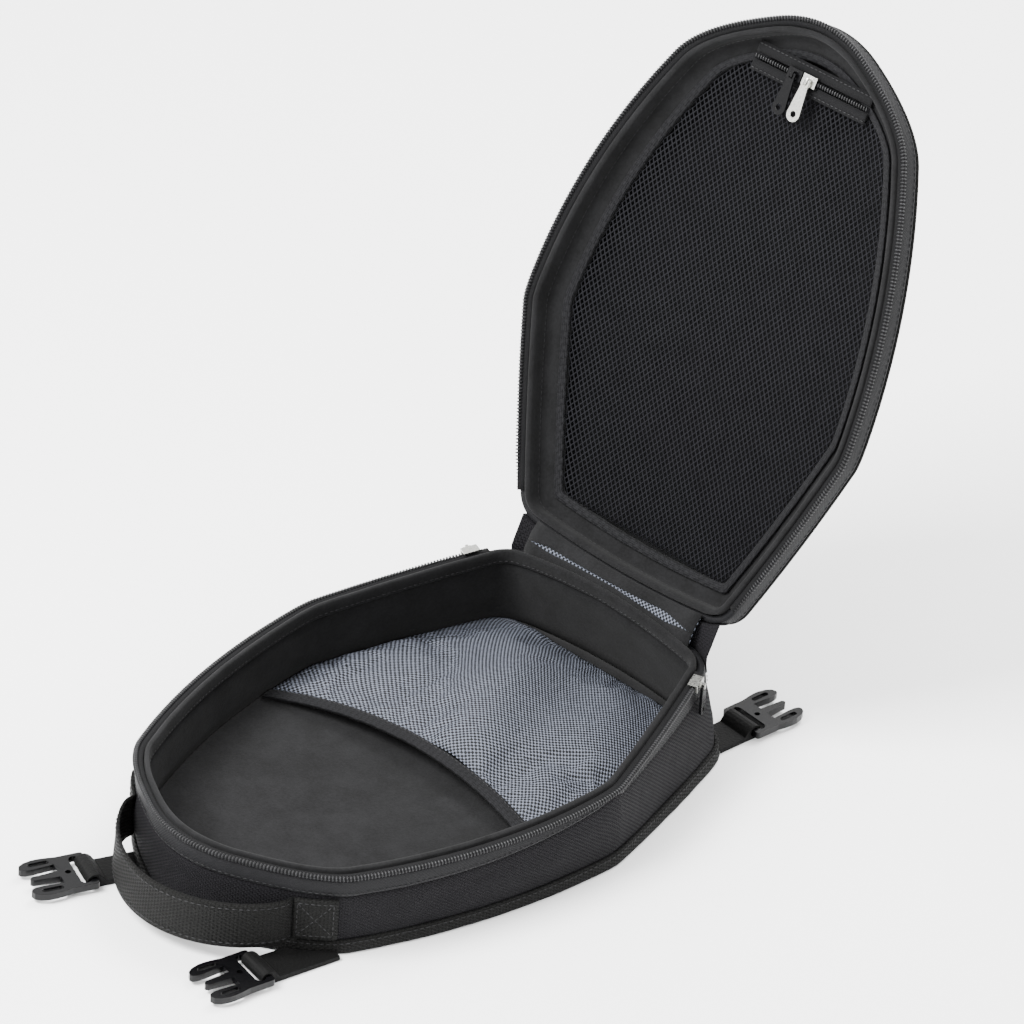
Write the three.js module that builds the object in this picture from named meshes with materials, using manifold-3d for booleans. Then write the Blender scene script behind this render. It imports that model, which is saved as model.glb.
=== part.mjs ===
// Motorcycle tank bag: a shallow fabric base with a domed lid hinged at its rear edge, lid open.
// Millimetres, +Z up, +Y towards the hinge, +X to the right seen from the handle end.
// The origin is the centre of the flat underside.
//
// Every wall follows one plan outline: six corners, bowed edges and rounded corners. The parting
// plane between base and lid passes through that outline. It rises towards the hinge and sags at
// the sides. Lid parts are drawn in the closed position and opened by their group.

import * as THREE from 'three';
import { mergeVertices } from 'three/addons/utils/BufferGeometryUtils.js';
import Module from 'manifold-3d';

const wasm = await Module();
wasm.setup();

// ---- driving dimensions ------------------------------------------------------------------

// Plan outline at the zip.
const RIM_LENGTH = 290;
const TIP_HALF_WIDTH = 66;
const WIDE_HALF_WIDTH = 110;
const HINGE_HALF_WIDTH = 70;
const TIP_Y = -RIM_LENGTH / 2;
const HINGE_Y = RIM_LENGTH / 2;
const WIDE_Y = TIP_Y + 178;
const TIP_RADIUS = 48;
const WIDE_RADIUS = 30;
const HINGE_RADIUS = 18;
const SMALLEST_RADIUS = 4;
const TIP_BOW = 7;
const FLARE_BOW = 7;
const TAPER_BOW = 1;
const HINGE_BOW = 3.5;

// Points along each stretch of the outline.
const TIP_CORNER_STEPS = 5;
const CORNER_STEPS = 3;
const TIP_STEPS = 3;
const FLARE_STEPS = 4;
const TAPER_STEPS = 3;
const HINGE_STEPS = 3;

// Height of the parting plane over the ground, and how far the base walls lean out at the ground.
const RIM_HEIGHT_TIP = 50;
const RIM_HEIGHT_HINGE = 62;
const RIM_SAG = 11;
const LEAN_TIP = 3;
const LEAN_HINGE = 16;
const LEAN_SIDE = -9;
const LEAN_POWER = 1.2;

// Fabric layers.
const GAP = 0.3;
const BOTTOM_THICK = 5;
const BOARD_THICK = 2;
const LINING_THICK = 2;
const BINDING_TOP = 8.3;
const BAND_DEPTH = 12.6;
const PIPING_RADIUS = 1.2;

// Hinge and lid.
const LID_OPEN_DEG = 116;
const HINGE_AXIS_Y = HINGE_Y + HINGE_BOW + 2.4;
const HINGE_AXIS_Z = RIM_HEIGHT_HINGE + 2;
const SHELL_THICK = 3;
const FOAM_THICK = 2.4;
const BACK_LINING_THICK = 1.2;
const NET_INSET = 19.5;
const NET_THICK = 1;
const NET_BULGE = 5;

// Pocket on the floor of the base.
const POCKET_MOUTH_Y = TIP_Y + 142;
const POCKET_MOUTH_BOW = 18;
const POCKET_BULGE = 15;
const POCKET_THICK = 1;
const POCKET_REAR_Y = HINGE_Y + 1;
const HEM_WIDTH = 8;

// Zip across the tip of the lid pocket.
const POCKET_ZIP_Y = TIP_Y + 21;
const POCKET_ZIP_HALF = 38;
const POCKET_ZIP_LEVEL = 7.7;

// Webbing, buckles and zip pulls.
const HANDLE_WIDTH = 24;
const HANDLE_THICK = 2.4;
const HANDLE_REACH = 17;
const HANDLE_SWELL = 0.6;
const HANDLE_STEPS_IN = 3;
const HANDLE_SAG = 1.5;
const HANDLE_TOP = 33.4;
const PATCH_LENGTH = 22;
const PATCH_STEPS = 4;
const TAB_WIDTH = 19;
const TAB_PLY = 1.2;
const BUCKLE_WIDTH = 27;
const BUCKLE_THICK = 3.6;
const BUCKLE_BAR = 3;
const BUCKLE_HEIGHT = 4.1;
const TAB_ROOT = 8;
const SLIDER_LENGTH = 9;
const PIN_RADIUS = 0.6;
const LUG_THICK = 1.6;

// ---- materials ---------------------------------------------------------------------------

function finish(color, roughness, metalness = 0) {
  return () => new THREE.MeshStandardMaterial({ color, roughness, metalness });
}

const cordura = finish(0x2d2c32, 0.9);
const smoothBand = finish(0x464649, 0.7);
const webbing = finish(0x2d2d2b, 0.85);
const felt = finish(0x262626, 0.95);
const net = finish(0x141419, 0.8);
const airMesh = finish(0xb4b6bc, 0.7);
const elastic = finish(0x1a1a1c, 0.8);
const nylonCoil = finish(0x3a3a3c, 0.5);
const zipTape = finish(0x1c1c1e, 0.85);
const foam = finish(0x3c3c3e, 0.9);
const board = finish(0x2a2a2c, 0.6);
const acetal = finish(0x101012, 0.35);
const plated = finish(0xc8c8c3, 0.3, 1);

// ---- plan outline ------------------------------------------------------------------------

// Anticlockwise from above, starting at the left end of the hinge edge. Each corner names the
// bow of the edge that follows it.
const CORNERS = [
  { x: -HINGE_HALF_WIDTH, y: HINGE_Y, radius: HINGE_RADIUS, steps: CORNER_STEPS,
    bow: TAPER_BOW, edgeSteps: TAPER_STEPS },
  { x: -WIDE_HALF_WIDTH, y: WIDE_Y, radius: WIDE_RADIUS, steps: CORNER_STEPS,
    bow: FLARE_BOW, edgeSteps: FLARE_STEPS },
  { x: -TIP_HALF_WIDTH, y: TIP_Y, radius: TIP_RADIUS, steps: TIP_CORNER_STEPS,
    bow: TIP_BOW, edgeSteps: TIP_STEPS },
  { x: TIP_HALF_WIDTH, y: TIP_Y, radius: TIP_RADIUS, steps: TIP_CORNER_STEPS,
    bow: FLARE_BOW, edgeSteps: FLARE_STEPS },
  { x: WIDE_HALF_WIDTH, y: WIDE_Y, radius: WIDE_RADIUS, steps: CORNER_STEPS,
    bow: TAPER_BOW, edgeSteps: TAPER_STEPS },
  { x: HINGE_HALF_WIDTH, y: HINGE_Y, radius: HINGE_RADIUS, steps: CORNER_STEPS,
    bow: HINGE_BOW, edgeSteps: HINGE_STEPS },
];

// Places along the outline that other pieces start or stop at.
const AFTER_HINGE_CORNER = CORNER_STEPS;
const TIP_LEFT = AFTER_HINGE_CORNER + TAPER_STEPS + CORNER_STEPS + FLARE_STEPS;
const TIP_RIGHT = TIP_LEFT + TIP_CORNER_STEPS + TIP_STEPS + TIP_CORNER_STEPS;
const HINGE_RIGHT = TIP_RIGHT + FLARE_STEPS + CORNER_STEPS + TAPER_STEPS + CORNER_STEPS;
const BEFORE_HINGE_CORNER = HINGE_RIGHT - CORNER_STEPS;
const OUTLINE_COUNT = HINGE_RIGHT + HINGE_STEPS;

function crossing(a, alongA, b, alongB) {
  const turn = alongA.cross(alongB);
  const reach = b.clone().sub(a).cross(alongB) / turn;
  return a.clone().addScaledVector(alongA, reach);
}

// The outline moved outward by grow, as a list of points.
function planPoints(grow) {
  const count = CORNERS.length;
  const ways = CORNERS.map((corner, i) => {
    const next = CORNERS[(i + 1) % count];
    return new THREE.Vector2(next.x - corner.x, next.y - corner.y).normalize();
  });
  const outward = ways.map((way) => new THREE.Vector2(way.y, -way.x));
  const moved = CORNERS.map((corner, i) => {
    const before = outward[(i + count - 1) % count];
    const shift = before.clone().add(outward[i]).divideScalar(1 + before.dot(outward[i]));
    return new THREE.Vector2(corner.x, corner.y).addScaledVector(shift, grow);
  });
  const cuts = CORNERS.map((corner, i) => {
    const turn = Math.acos(ways[(i + count - 1) % count].dot(ways[i]));
    return Math.max(corner.radius + grow, SMALLEST_RADIUS) * Math.tan(turn / 2);
  });
  const edges = CORNERS.map((corner, i) => {
    const next = (i + 1) % count;
    const from = moved[i].clone().addScaledVector(ways[i], cuts[i]);
    const to = moved[next].clone().addScaledVector(ways[i], -cuts[next]);
    const control = from.clone().lerp(to, 0.5).addScaledVector(outward[i], 2 * corner.bow);
    return { from, control, to };
  });
  const points = [];
  CORNERS.forEach((corner, i) => {
    const before = edges[(i + count - 1) % count];
    const after = edges[i];
    const wayIn = before.to.clone().sub(before.control);
    const wayOut = after.control.clone().sub(after.from);
    const peak = crossing(before.to, wayIn, after.from, wayOut);
    const round = new THREE.QuadraticBezierCurve(before.to, peak, after.from);
    const edge = new THREE.QuadraticBezierCurve(after.from, after.control, after.to);
    points.push(...round.getPoints(corner.steps).slice(0, -1));
    points.push(...edge.getPoints(corner.edgeSteps).slice(0, -1));
  });
  return points;
}

function outwardAt(points, i) {
  const before = points[(i + points.length - 1) % points.length];
  const after = points[(i + 1) % points.length];
  return new THREE.Vector2(after.y - before.y, before.x - after.x).normalize();
}

function rimHeight(x, y) {
  const along = (y - TIP_Y) / RIM_LENGTH;
  const level = THREE.MathUtils.lerp(RIM_HEIGHT_TIP, RIM_HEIGHT_HINGE, along);
  return level - RIM_SAG * (x / WIDE_HALF_WIDTH) ** 2;
}

function groundLean(x, y) {
  const along = (y - TIP_Y) / RIM_LENGTH;
  const level = THREE.MathUtils.lerp(LEAN_TIP, LEAN_HINGE, along);
  return level + LEAN_SIDE * (x / WIDE_HALF_WIDTH) ** 2;
}

// One turn of points round the base, inset from the outer wall. The height is a share of the
// rim height plus a number of millimetres. out(i) adds an outward shift of its own.
function baseRing(inset, share, extra, out = () => 0) {
  const points = planPoints(-inset);
  return points.map((point, i) => {
    const rim = rimHeight(point.x, point.y);
    const z = share * rim + extra;
    const depth = Math.max(1 - z / rim, 0);
    const lean = groundLean(point.x, point.y) * depth ** LEAN_POWER + out(i);
    const way = outwardAt(points, i);
    return new THREE.Vector3(point.x + way.x * lean, point.y + way.y * lean, z);
  });
}

// One turn of points round the closed lid, a height above the parting plane.
function lidRing(inset, height) {
  return planPoints(-inset).map((point) => (
    new THREE.Vector3(point.x, point.y, rimHeight(point.x, point.y) + height)
  ));
}

const lidRow = ([inset, height]) => lidRing(inset, height);
const rimRow = ([inset, down]) => baseRing(inset, 1, -down);
const groundRow = ([inset, up]) => baseRing(inset, 0, up);

// ---- solids from rows of points ----------------------------------------------------------

function closedGeometry(points, triangles) {
  let volume = 0;
  for (const [a, b, c] of triangles) {
    volume += points[a].dot(points[b].clone().cross(points[c]));
  }
  const index = triangles.flatMap(([a, b, c]) => (volume > 0 ? [a, b, c] : [a, c, b]));
  const geometry = new THREE.BufferGeometry().setFromPoints(points);
  geometry.setIndex(index);
  geometry.computeVertexNormals();
  return geometry;
}

function quad(a, b, c, d) {
  return [[a, b, c], [a, c, d]];
}

// Rows that each close on themselves. A band also joins its last row to its first, and a
// plug is filled at its first and last rows instead.
function loopedRows(rows, isBand) {
  const count = rows[0].length;
  const points = rows.flat();
  const triangles = [];
  const pairs = isBand ? rows.length : rows.length - 1;
  for (let row = 0; row < pairs; row += 1) {
    const here = row * count;
    const there = ((row + 1) % rows.length) * count;
    for (let i = 0; i < count; i += 1) {
      const j = (i + 1) % count;
      triangles.push(...quad(here + i, here + j, there + j, there + i));
    }
  }
  if (!isBand) {
    const middle = (row) => (
      row.reduce((sum, point) => sum.add(point), new THREE.Vector3()).divideScalar(count)
    );
    const first = points.push(middle(rows[0])) - 1;
    const last = points.push(middle(rows.at(-1))) - 1;
    const lastRow = (rows.length - 1) * count;
    for (let i = 0; i < count; i += 1) {
      const j = (i + 1) % count;
      triangles.push([first, j, i]);
      triangles.push([last, lastRow + i, lastRow + j]);
    }
  }
  return closedGeometry(points, triangles);
}

const band = (rows) => loopedRows(rows, true);
const plug = (rows) => loopedRows(rows, false);

// A strip with a closed section, along part of the outline.
function strip(rows, from, to) {
  const columns = [];
  for (let i = from; i <= to; i += 1) {
    columns.push(rows.map((row) => row[i % row.length].clone()));
  }
  return plug(columns);
}

// A sheet between two grids of points with the same rows and columns.
function slab(upper, lower) {
  const rows = upper.length;
  const count = upper[0].length;
  const points = [...upper.flat(), ...lower.flat()];
  const under = rows * count;
  const at = (row, i) => row * count + i;
  const triangles = [];
  for (let row = 0; row < rows - 1; row += 1) {
    for (let i = 0; i < count - 1; i += 1) {
      const corners = [at(row, i), at(row, i + 1), at(row + 1, i + 1), at(row + 1, i)];
      triangles.push(...quad(...corners));
      triangles.push(...quad(...corners.map((corner) => corner + under).reverse()));
    }
  }
  const edge = [];
  for (let i = 0; i < count - 1; i += 1) edge.push(at(0, i));
  for (let row = 0; row < rows - 1; row += 1) edge.push(at(row, count - 1));
  for (let i = count - 1; i > 0; i -= 1) edge.push(at(rows - 1, i));
  for (let row = rows - 1; row > 0; row -= 1) edge.push(at(row, 0));
  edge.forEach((a, k) => {
    const b = edge[(k + 1) % edge.length];
    triangles.push(...quad(b, a, a + under, b + under));
  });
  return closedGeometry(points, triangles);
}

// Half the width of a ring at a given y, on its right side.
function halfWidthAt(ring, y) {
  for (let i = 0; i < ring.length; i += 1) {
    const a = ring[i];
    const b = ring[(i + 1) % ring.length];
    if (a.x > 0 && b.x > 0 && a.y <= y && b.y > y) {
      return THREE.MathUtils.lerp(a.x, b.x, (y - a.y) / (b.y - a.y));
    }
  }
  return 0;
}

// The inner side of a sheet's profile, thick away from it. Profile points are [inset, height],
// and the inner side is to the side where the inset grows and the height falls.
function innerSide(profile, thick) {
  return profile.map((point, k) => {
    const before = profile[Math.max(k - 1, 0)];
    const after = profile[Math.min(k + 1, profile.length - 1)];
    const way = new THREE.Vector2(after[0] - before[0], after[1] - before[1]).normalize();
    const height = k === 0 ? point[1] : point[1] - way.x * thick;
    return [point[0] + way.y * thick, height];
  });
}

// A bowl between a profile and its inner side.
function bowl(profile, thick) {
  const inside = innerSide(profile, thick);
  return plug([...inside.toReversed(), ...profile].map(lidRow));
}

// ---- booleans ----------------------------------------------------------------------------

function toSolid(geometry) {
  const bare = geometry.clone();
  bare.deleteAttribute('normal');
  bare.deleteAttribute('uv');
  const merged = mergeVertices(bare, 1e-4);
  return new wasm.Manifold(new wasm.Mesh({
    numProp: 3,
    vertProperties: new Float32Array(merged.attributes.position.array),
    triVerts: new Uint32Array(merged.index.array),
  }));
}

function toGeometry(solid) {
  const mesh = solid.getMesh();
  const geometry = new THREE.BufferGeometry();
  geometry.setAttribute('position', new THREE.BufferAttribute(mesh.vertProperties, 3));
  geometry.setIndex(new THREE.BufferAttribute(mesh.triVerts, 1));
  geometry.computeVertexNormals();
  return geometry;
}

function join(first, ...others) {
  return toGeometry(others.reduce((sum, other) => sum.add(toSolid(other)), toSolid(first)));
}

function cut(first, ...tools) {
  return toGeometry(tools.reduce((rest, tool) => rest.subtract(toSolid(tool)), toSolid(first)));
}

// ---- simple shapes -----------------------------------------------------------------------

function block(x, y, z, width, length, height) {
  return new THREE.BoxGeometry(width, length, height).translate(x, y, z);
}

function rodAlongX(radius, length, y, z, sides = 10) {
  return new THREE.CylinderGeometry(radius, radius, length, sides)
    .rotateZ(Math.PI / 2)
    .translate(0, y, z);
}

// A shape drawn in X and Y, given thickness equally above and below.
function flatPiece(shape, thick, curveSegments = 4) {
  return new THREE.ExtrudeGeometry(shape, { depth: thick, bevelEnabled: false, curveSegments })
    .translate(0, 0, -thick / 2);
}

// A shape whose X is the piece's Y and whose Y is the piece's Z, given width along X.
function sidePiece(shape, width, curveSegments = 4) {
  return new THREE.ExtrudeGeometry(shape, { depth: width, bevelEnabled: false, curveSegments })
    .translate(0, 0, -width / 2)
    .applyMatrix4(new THREE.Matrix4().set(0, 0, 1, 0, 1, 0, 0, 0, 0, 1, 0, 0, 0, 0, 0, 1));
}

function add(parent, name, geometry, material) {
  const mesh = new THREE.Mesh(geometry, material());
  mesh.name = name;
  parent.add(mesh);
  return mesh;
}

// ---- base --------------------------------------------------------------------------------

const bag = new THREE.Group();
const CAVITY_FLOOR = BOTTOM_THICK + GAP + BOARD_THICK + GAP + LINING_THICK;

function addBasePanels() {
  add(bag, 'base_bottom_panel', plug([
    groundRow([3, 0]),
    groundRow([1.2, 1]),
    groundRow([1, BOTTOM_THICK]),
  ]), cordura);
  add(bag, 'base_bottom_binding', band([
    groundRow([0.5, 0.4]),
    groundRow([-1.1, 1.4]),
    groundRow([-1.3, BINDING_TOP - 1.5]),
    groundRow([0.5, BINDING_TOP]),
  ]), webbing);
  const wallFoot = BOTTOM_THICK + GAP;
  add(bag, 'base_side_wall', band([
    groundRow([1, wallFoot]),
    baseRing(0.8, 0.3, 0),
    baseRing(0.3, 0.55, 0),
    rimRow([-0.4, BAND_DEPTH + GAP]),
    rimRow([3.2, BAND_DEPTH + GAP]),
    baseRing(4, 0.45, 0),
    groundRow([4.4, wallFoot]),
  ]), cordura);
  add(bag, 'base_rim_band', band([
    rimRow([-0.7, BAND_DEPTH]),
    rimRow([-0.9, 8]),
    rimRow([-0.6, 3.4]),
    rimRow([3.2, 3.4]),
    rimRow([3.2, BAND_DEPTH]),
  ]), smoothBand);
  add(bag, 'base_floor_board', plug([
    groundRow([4.8, wallFoot]),
    groundRow([4.8, wallFoot + BOARD_THICK]),
  ]), board);
  add(bag, 'base_floor_lining', plug([
    groundRow([4.9, CAVITY_FLOOR - LINING_THICK]),
    groundRow([4.9, CAVITY_FLOOR]),
  ]), felt);
  add(bag, 'base_wall_lining', band([
    rimRow([3.6, 9.3]),
    rimRow([5.8, 9.3]),
    baseRing(6.6, 0.45, 0),
    groundRow([7, CAVITY_FLOOR + GAP]),
    groundRow([4.9, CAVITY_FLOOR + GAP]),
    baseRing(4.5, 0.45, 0),
  ]), felt);
  add(bag, 'base_rim_facing', band([
    rimRow([3.6, 1]),
    rimRow([5.1, 0.5]),
    rimRow([6.7, 1.3]),
    rimRow([6.7, 9]),
    rimRow([3.6, 9]),
  ]), felt);
}

const coilSection = (row, side) => [
  row([0, side * 1.2]),
  row([0, side * 3.1]),
  row([-2, side * 3.1]),
  row([-2.7, side * 1.8]),
  row([-2, side * 0.5]),
  row([-0.7, side * 0.5]),
];
const tapeSection = (row, side) => [
  row([0.3, side * 2.3]),
  row([0.3, side * 3.1]),
  row([3.2, side * 3.1]),
  row([3.2, side * 2.3]),
];

function addBaseZip() {
  const from = AFTER_HINGE_CORNER;
  const to = BEFORE_HINGE_CORNER;
  add(bag, 'base_zip_tape', strip(tapeSection(rimRow, 1), from, to), zipTape);
  add(bag, 'base_zip_coil', strip(coilSection(rimRow, 1), from, to), nylonCoil);
}

// Half the inside width of the base at the floor.
const floorRing = groundRow([8.4, CAVITY_FLOOR + GAP]);

// The pocket is a mesh sheet held down at its sides and rear, bulging between them, and its
// mouth curves back in the middle.
function pocketHeight(across, along) {
  const sides = 1 - across ** 2;
  const lift = 0.6 + 0.4 * Math.sin(Math.PI * along);
  const rear = 1 - along ** 4;
  return POCKET_BULGE * sides * lift * rear;
}

function pocketGrid(from, to, rows, level) {
  const columns = 12;
  const reach = POCKET_REAR_Y - POCKET_MOUTH_Y;
  const grid = [];
  for (let row = 0; row <= rows; row += 1) {
    const straight = THREE.MathUtils.lerp(from, to, row / rows);
    const along = THREE.MathUtils.clamp((straight - POCKET_MOUTH_Y) / reach, 0, 1);
    const line = [];
    for (let i = 0; i <= columns; i += 1) {
      const across = 2 * i / columns - 1;
      const y = straight + POCKET_MOUTH_BOW * (1 - across ** 2) * (1 - along);
      const half = halfWidthAt(floorRing, y);
      const z = CAVITY_FLOOR + GAP + pocketHeight(across, along) + level;
      line.push(new THREE.Vector3(across * half, y, z));
    }
    grid.push(line);
  }
  return grid;
}

function addFloorPocket() {
  const start = POCKET_MOUTH_Y + HEM_WIDTH + GAP;
  const upper = pocketGrid(start, POCKET_REAR_Y, 9, POCKET_THICK);
  const lower = pocketGrid(start, POCKET_REAR_Y, 9, 0);
  add(bag, 'floor_mesh_pocket', slab(upper, lower), airMesh);
  const hemEnd = POCKET_MOUTH_Y + HEM_WIDTH;
  const hemTop = pocketGrid(POCKET_MOUTH_Y, hemEnd, 1, POCKET_THICK * 1.6);
  const hemUnder = pocketGrid(POCKET_MOUTH_Y, hemEnd, 1, 0);
  add(bag, 'floor_pocket_hem', slab(hemTop, hemUnder), elastic);
}

// ---- handle ------------------------------------------------------------------------------

function strapRows(top, width, near, thick, out, sag) {
  const row = (inset, z) => {
    const ring = baseRing(-inset, 0, z, out);
    return ring.map((point, i) => point.setZ(point.z - sag(i)));
  };
  return [
    row(near, top),
    row(near + thick, top),
    row(near + thick, top - width),
    row(near, top - width),
  ];
}

function addHandle() {
  const none = () => 0;
  const first = TIP_LEFT + HANDLE_STEPS_IN;
  const last = TIP_RIGHT - HANDLE_STEPS_IN;
  const ends = [{ name: 'left', at: first, next: -1 }, { name: 'right', at: last, next: 1 }];
  for (const { name, at, next } of ends) {
    const rows = strapRows(HANDLE_TOP - 1, HANDLE_WIDTH - 1, 0.9, HANDLE_THICK, none, none);
    const patch = rows.map((row) => {
      const path = new THREE.CatmullRomCurve3([0, 1, 2, 3].map((k) => row[at + next * k]));
      path.curveType = 'chordal';
      const length = path.getLength();
      const picks = [];
      for (let k = 0; k <= PATCH_STEPS; k += 1) {
        picks.push(path.getPointAt((GAP + PATCH_LENGTH * k / PATCH_STEPS) / length));
      }
      return next < 0 ? picks.reverse() : picks;
    });
    add(bag, `handle_patch_${name}`, strip(patch, 0, PATCH_STEPS), webbing);
  }

  const swing = (i) => {
    const share = THREE.MathUtils.clamp((i - first) / (last - first), 0, 1);
    return Math.sin(Math.PI * share);
  };
  const out = (i) => HANDLE_REACH * swing(i) ** HANDLE_SWELL;
  const sag = (i) => HANDLE_SAG * swing(i);
  const rows = strapRows(HANDLE_TOP, HANDLE_WIDTH, 0.9, HANDLE_THICK, out, sag);
  add(bag, 'carry_handle', strip(rows, first, last), webbing);
}

// ---- buckles -----------------------------------------------------------------------------

// Male side-release buckle, drawn from above with its bar at the origin and its prongs along +Y.
function buckleShape() {
  const half = BUCKLE_WIDTH / 2;
  const shape = new THREE.Shape();
  shape.moveTo(-half + 1.5, 0);
  shape.lineTo(half - 1.5, 0);
  shape.quadraticCurveTo(half, 0, half, 1.5);
  shape.lineTo(half, 14);
  shape.quadraticCurveTo(half + 1.6, 22, half + 1.2, 26);
  shape.quadraticCurveTo(half, 34, half - 4, 34);
  shape.quadraticCurveTo(half - 6.6, 34, half - 6.4, 27);
  shape.lineTo(half - 5.6, 16.5);
  shape.lineTo(2.4, 16.5);
  shape.lineTo(1.5, 30);
  shape.quadraticCurveTo(0, 32.5, -1.5, 30);
  shape.lineTo(-2.4, 16.5);
  shape.lineTo(-half + 5.6, 16.5);
  shape.lineTo(-half + 6.4, 27);
  shape.quadraticCurveTo(-half + 6.6, 34, -half + 4, 34);
  shape.quadraticCurveTo(-half, 34, -half - 1.2, 26);
  shape.quadraticCurveTo(-half - 1.6, 22, -half, 14);
  shape.lineTo(-half, 1.5);
  shape.quadraticCurveTo(-half, 0, -half + 1.5, 0);
  shape.holes.push(roundedSlot(0, 5.7, TAB_WIDTH + 3.8, 5.4));
  shape.holes.push(roundedSlot(0, 11.8, 3, 3));
  for (const side of [-1, 1]) {
    shape.holes.push(roundedSlot(side * (half - 2.7), 23.5, 2.8, 11));
  }
  return shape;
}

function roundedSlot(x, y, width, length) {
  const radius = Math.min(width, length) / 2;
  const path = new THREE.Path();
  if (length >= width) {
    const reach = (length - width) / 2;
    path.absarc(x, y + reach, radius, 0, Math.PI, false);
    path.absarc(x, y - reach, radius, Math.PI, 2 * Math.PI, false);
  } else {
    const reach = (width - length) / 2;
    path.absarc(x + reach, y, radius, -Math.PI / 2, Math.PI / 2, false);
    path.absarc(x - reach, y, radius, Math.PI / 2, 1.5 * Math.PI, false);
  }
  path.closePath();
  return path;
}

// Folded webbing: two plies from the bag, and a round loop that the buckle's bar turns in.
function tabShape(tail) {
  const middle = BUCKLE_BAR / 2;
  const inner = Math.hypot(middle, BUCKLE_THICK / 2) + GAP;
  const outer = inner + TAB_PLY;
  const twoPlies = -outer + 2 * TAB_PLY;
  const shape = new THREE.Shape();
  shape.moveTo(-tail, -outer);
  shape.lineTo(middle, -outer);
  shape.absarc(middle, 0, outer, -Math.PI / 2, Math.PI / 2, false);
  shape.quadraticCurveTo(middle - outer, outer, -5, twoPlies + 0.4);
  shape.lineTo(-tail, twoPlies);
  shape.closePath();
  const hole = new THREE.Path();
  hole.absarc(middle, 0, inner, 0, 2 * Math.PI, true);
  shape.holes.push(hole);
  return shape;
}

// Where each buckle's bar lies, a distance out from the foot of the wall, and the way its prongs
// point, in degrees from +X.
const BUCKLES = [
  { name: 'front_left', at: TIP_LEFT + 4, heading: 248, out: 24 },
  { name: 'front_right', at: TIP_RIGHT - 2, heading: 258, out: 31 },
  { name: 'rear_left', at: 1, heading: 95, out: 17 },
  { name: 'rear_right', at: HINGE_RIGHT - 1, heading: 85, out: 17 },
];

function addBuckles() {
  const edge = groundRow([-1.3, BUCKLE_HEIGHT]);
  const clearance = -1.3 - GAP;
  const foot = plug([groundRow([clearance, -1]), groundRow([clearance, BINDING_TOP + 5])]);
  for (const { name, at, heading, out } of BUCKLES) {
    const angle = THREE.MathUtils.degToRad(heading);
    const way = new THREE.Vector3(Math.cos(angle), Math.sin(angle), 0);
    const holder = new THREE.Group();
    holder.position.copy(edge[at]).addScaledVector(way, out);
    holder.rotation.z = angle - Math.PI / 2;
    bag.add(holder);
    holder.updateMatrixWorld();
    const whole = sidePiece(tabShape(out + TAB_ROOT), TAB_WIDTH).applyMatrix4(holder.matrixWorld);
    add(bag, `buckle_tab_${name}`, cut(whole, foot), webbing);
    add(holder, `buckle_${name}`, flatPiece(buckleShape(), BUCKLE_THICK, 3), acetal);
  }
}

// ---- lid ---------------------------------------------------------------------------------

const lidPivot = new THREE.Group();
lidPivot.position.set(0, HINGE_AXIS_Y, HINGE_AXIS_Z);
lidPivot.rotation.x = -THREE.MathUtils.degToRad(LID_OPEN_DEG);
bag.add(lidPivot);
const lid = new THREE.Group();
lid.position.set(0, -HINGE_AXIS_Y, -HINGE_AXIS_Z);
lidPivot.add(lid);

// The domed top, from its foot above the rim band to the crown, as [inset, height].
const DOME = [
  [1.5, 14], [3.5, 18.5], [9.5, 25.5], [19.5, 31.8], [35, 36.8], [56, 39.5],
];

function addLidShells() {
  add(lid, 'lid_shell', bowl(DOME, SHELL_THICK), cordura);
  const foamOuter = innerSide(DOME, SHELL_THICK + GAP);
  add(lid, 'lid_foam_core', bowl(foamOuter, FOAM_THICK), foam);
  const liningOuter = innerSide(DOME, SHELL_THICK + FOAM_THICK + 2 * GAP);
  add(lid, 'lid_back_lining', bowl(liningOuter, BACK_LINING_THICK), felt);
  add(lid, 'lid_rim_band', band([
    lidRow([-0.7, 3.4]),
    lidRow([-0.9, 8]),
    lidRow([-0.7, 13.7]),
    lidRow([3, 13.7]),
    lidRow([3, 3.4]),
  ]), smoothBand);
  const piping = [];
  for (let side = 0; side < 4; side += 1) {
    const angle = (side + 0.5) * Math.PI / 2;
    const inset = 0.1 + PIPING_RADIUS * Math.cos(angle);
    piping.push(lidRow([inset, 15.3 + PIPING_RADIUS * Math.sin(angle)]));
  }
  add(lid, 'lid_piping', band(piping), webbing);
  add(lid, 'lid_wall_lining', band([
    lidRow([3.4, 1]),
    lidRow([5, 0.5]),
    lidRow([6.6, 1.2]),
    lidRow([6.8, 9.2]),
    lidRow([8.6, 11.2]),
    lidRow([19.2, 12.4]),
    lidRow([19.2, 13.5]),
    lidRow([3.4, 13.5]),
  ]), felt);
}

// The lid's coil stops short of the parked sliders.
function addLidZip() {
  const from = AFTER_HINGE_CORNER + 1;
  const to = BEFORE_HINGE_CORNER - 1;
  add(lid, 'lid_zip_tape', strip(tapeSection(lidRow, 1), from, to), zipTape);
  add(lid, 'lid_zip_coil', strip(coilSection(lidRow, 1), from, to), nylonCoil);
}

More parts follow.
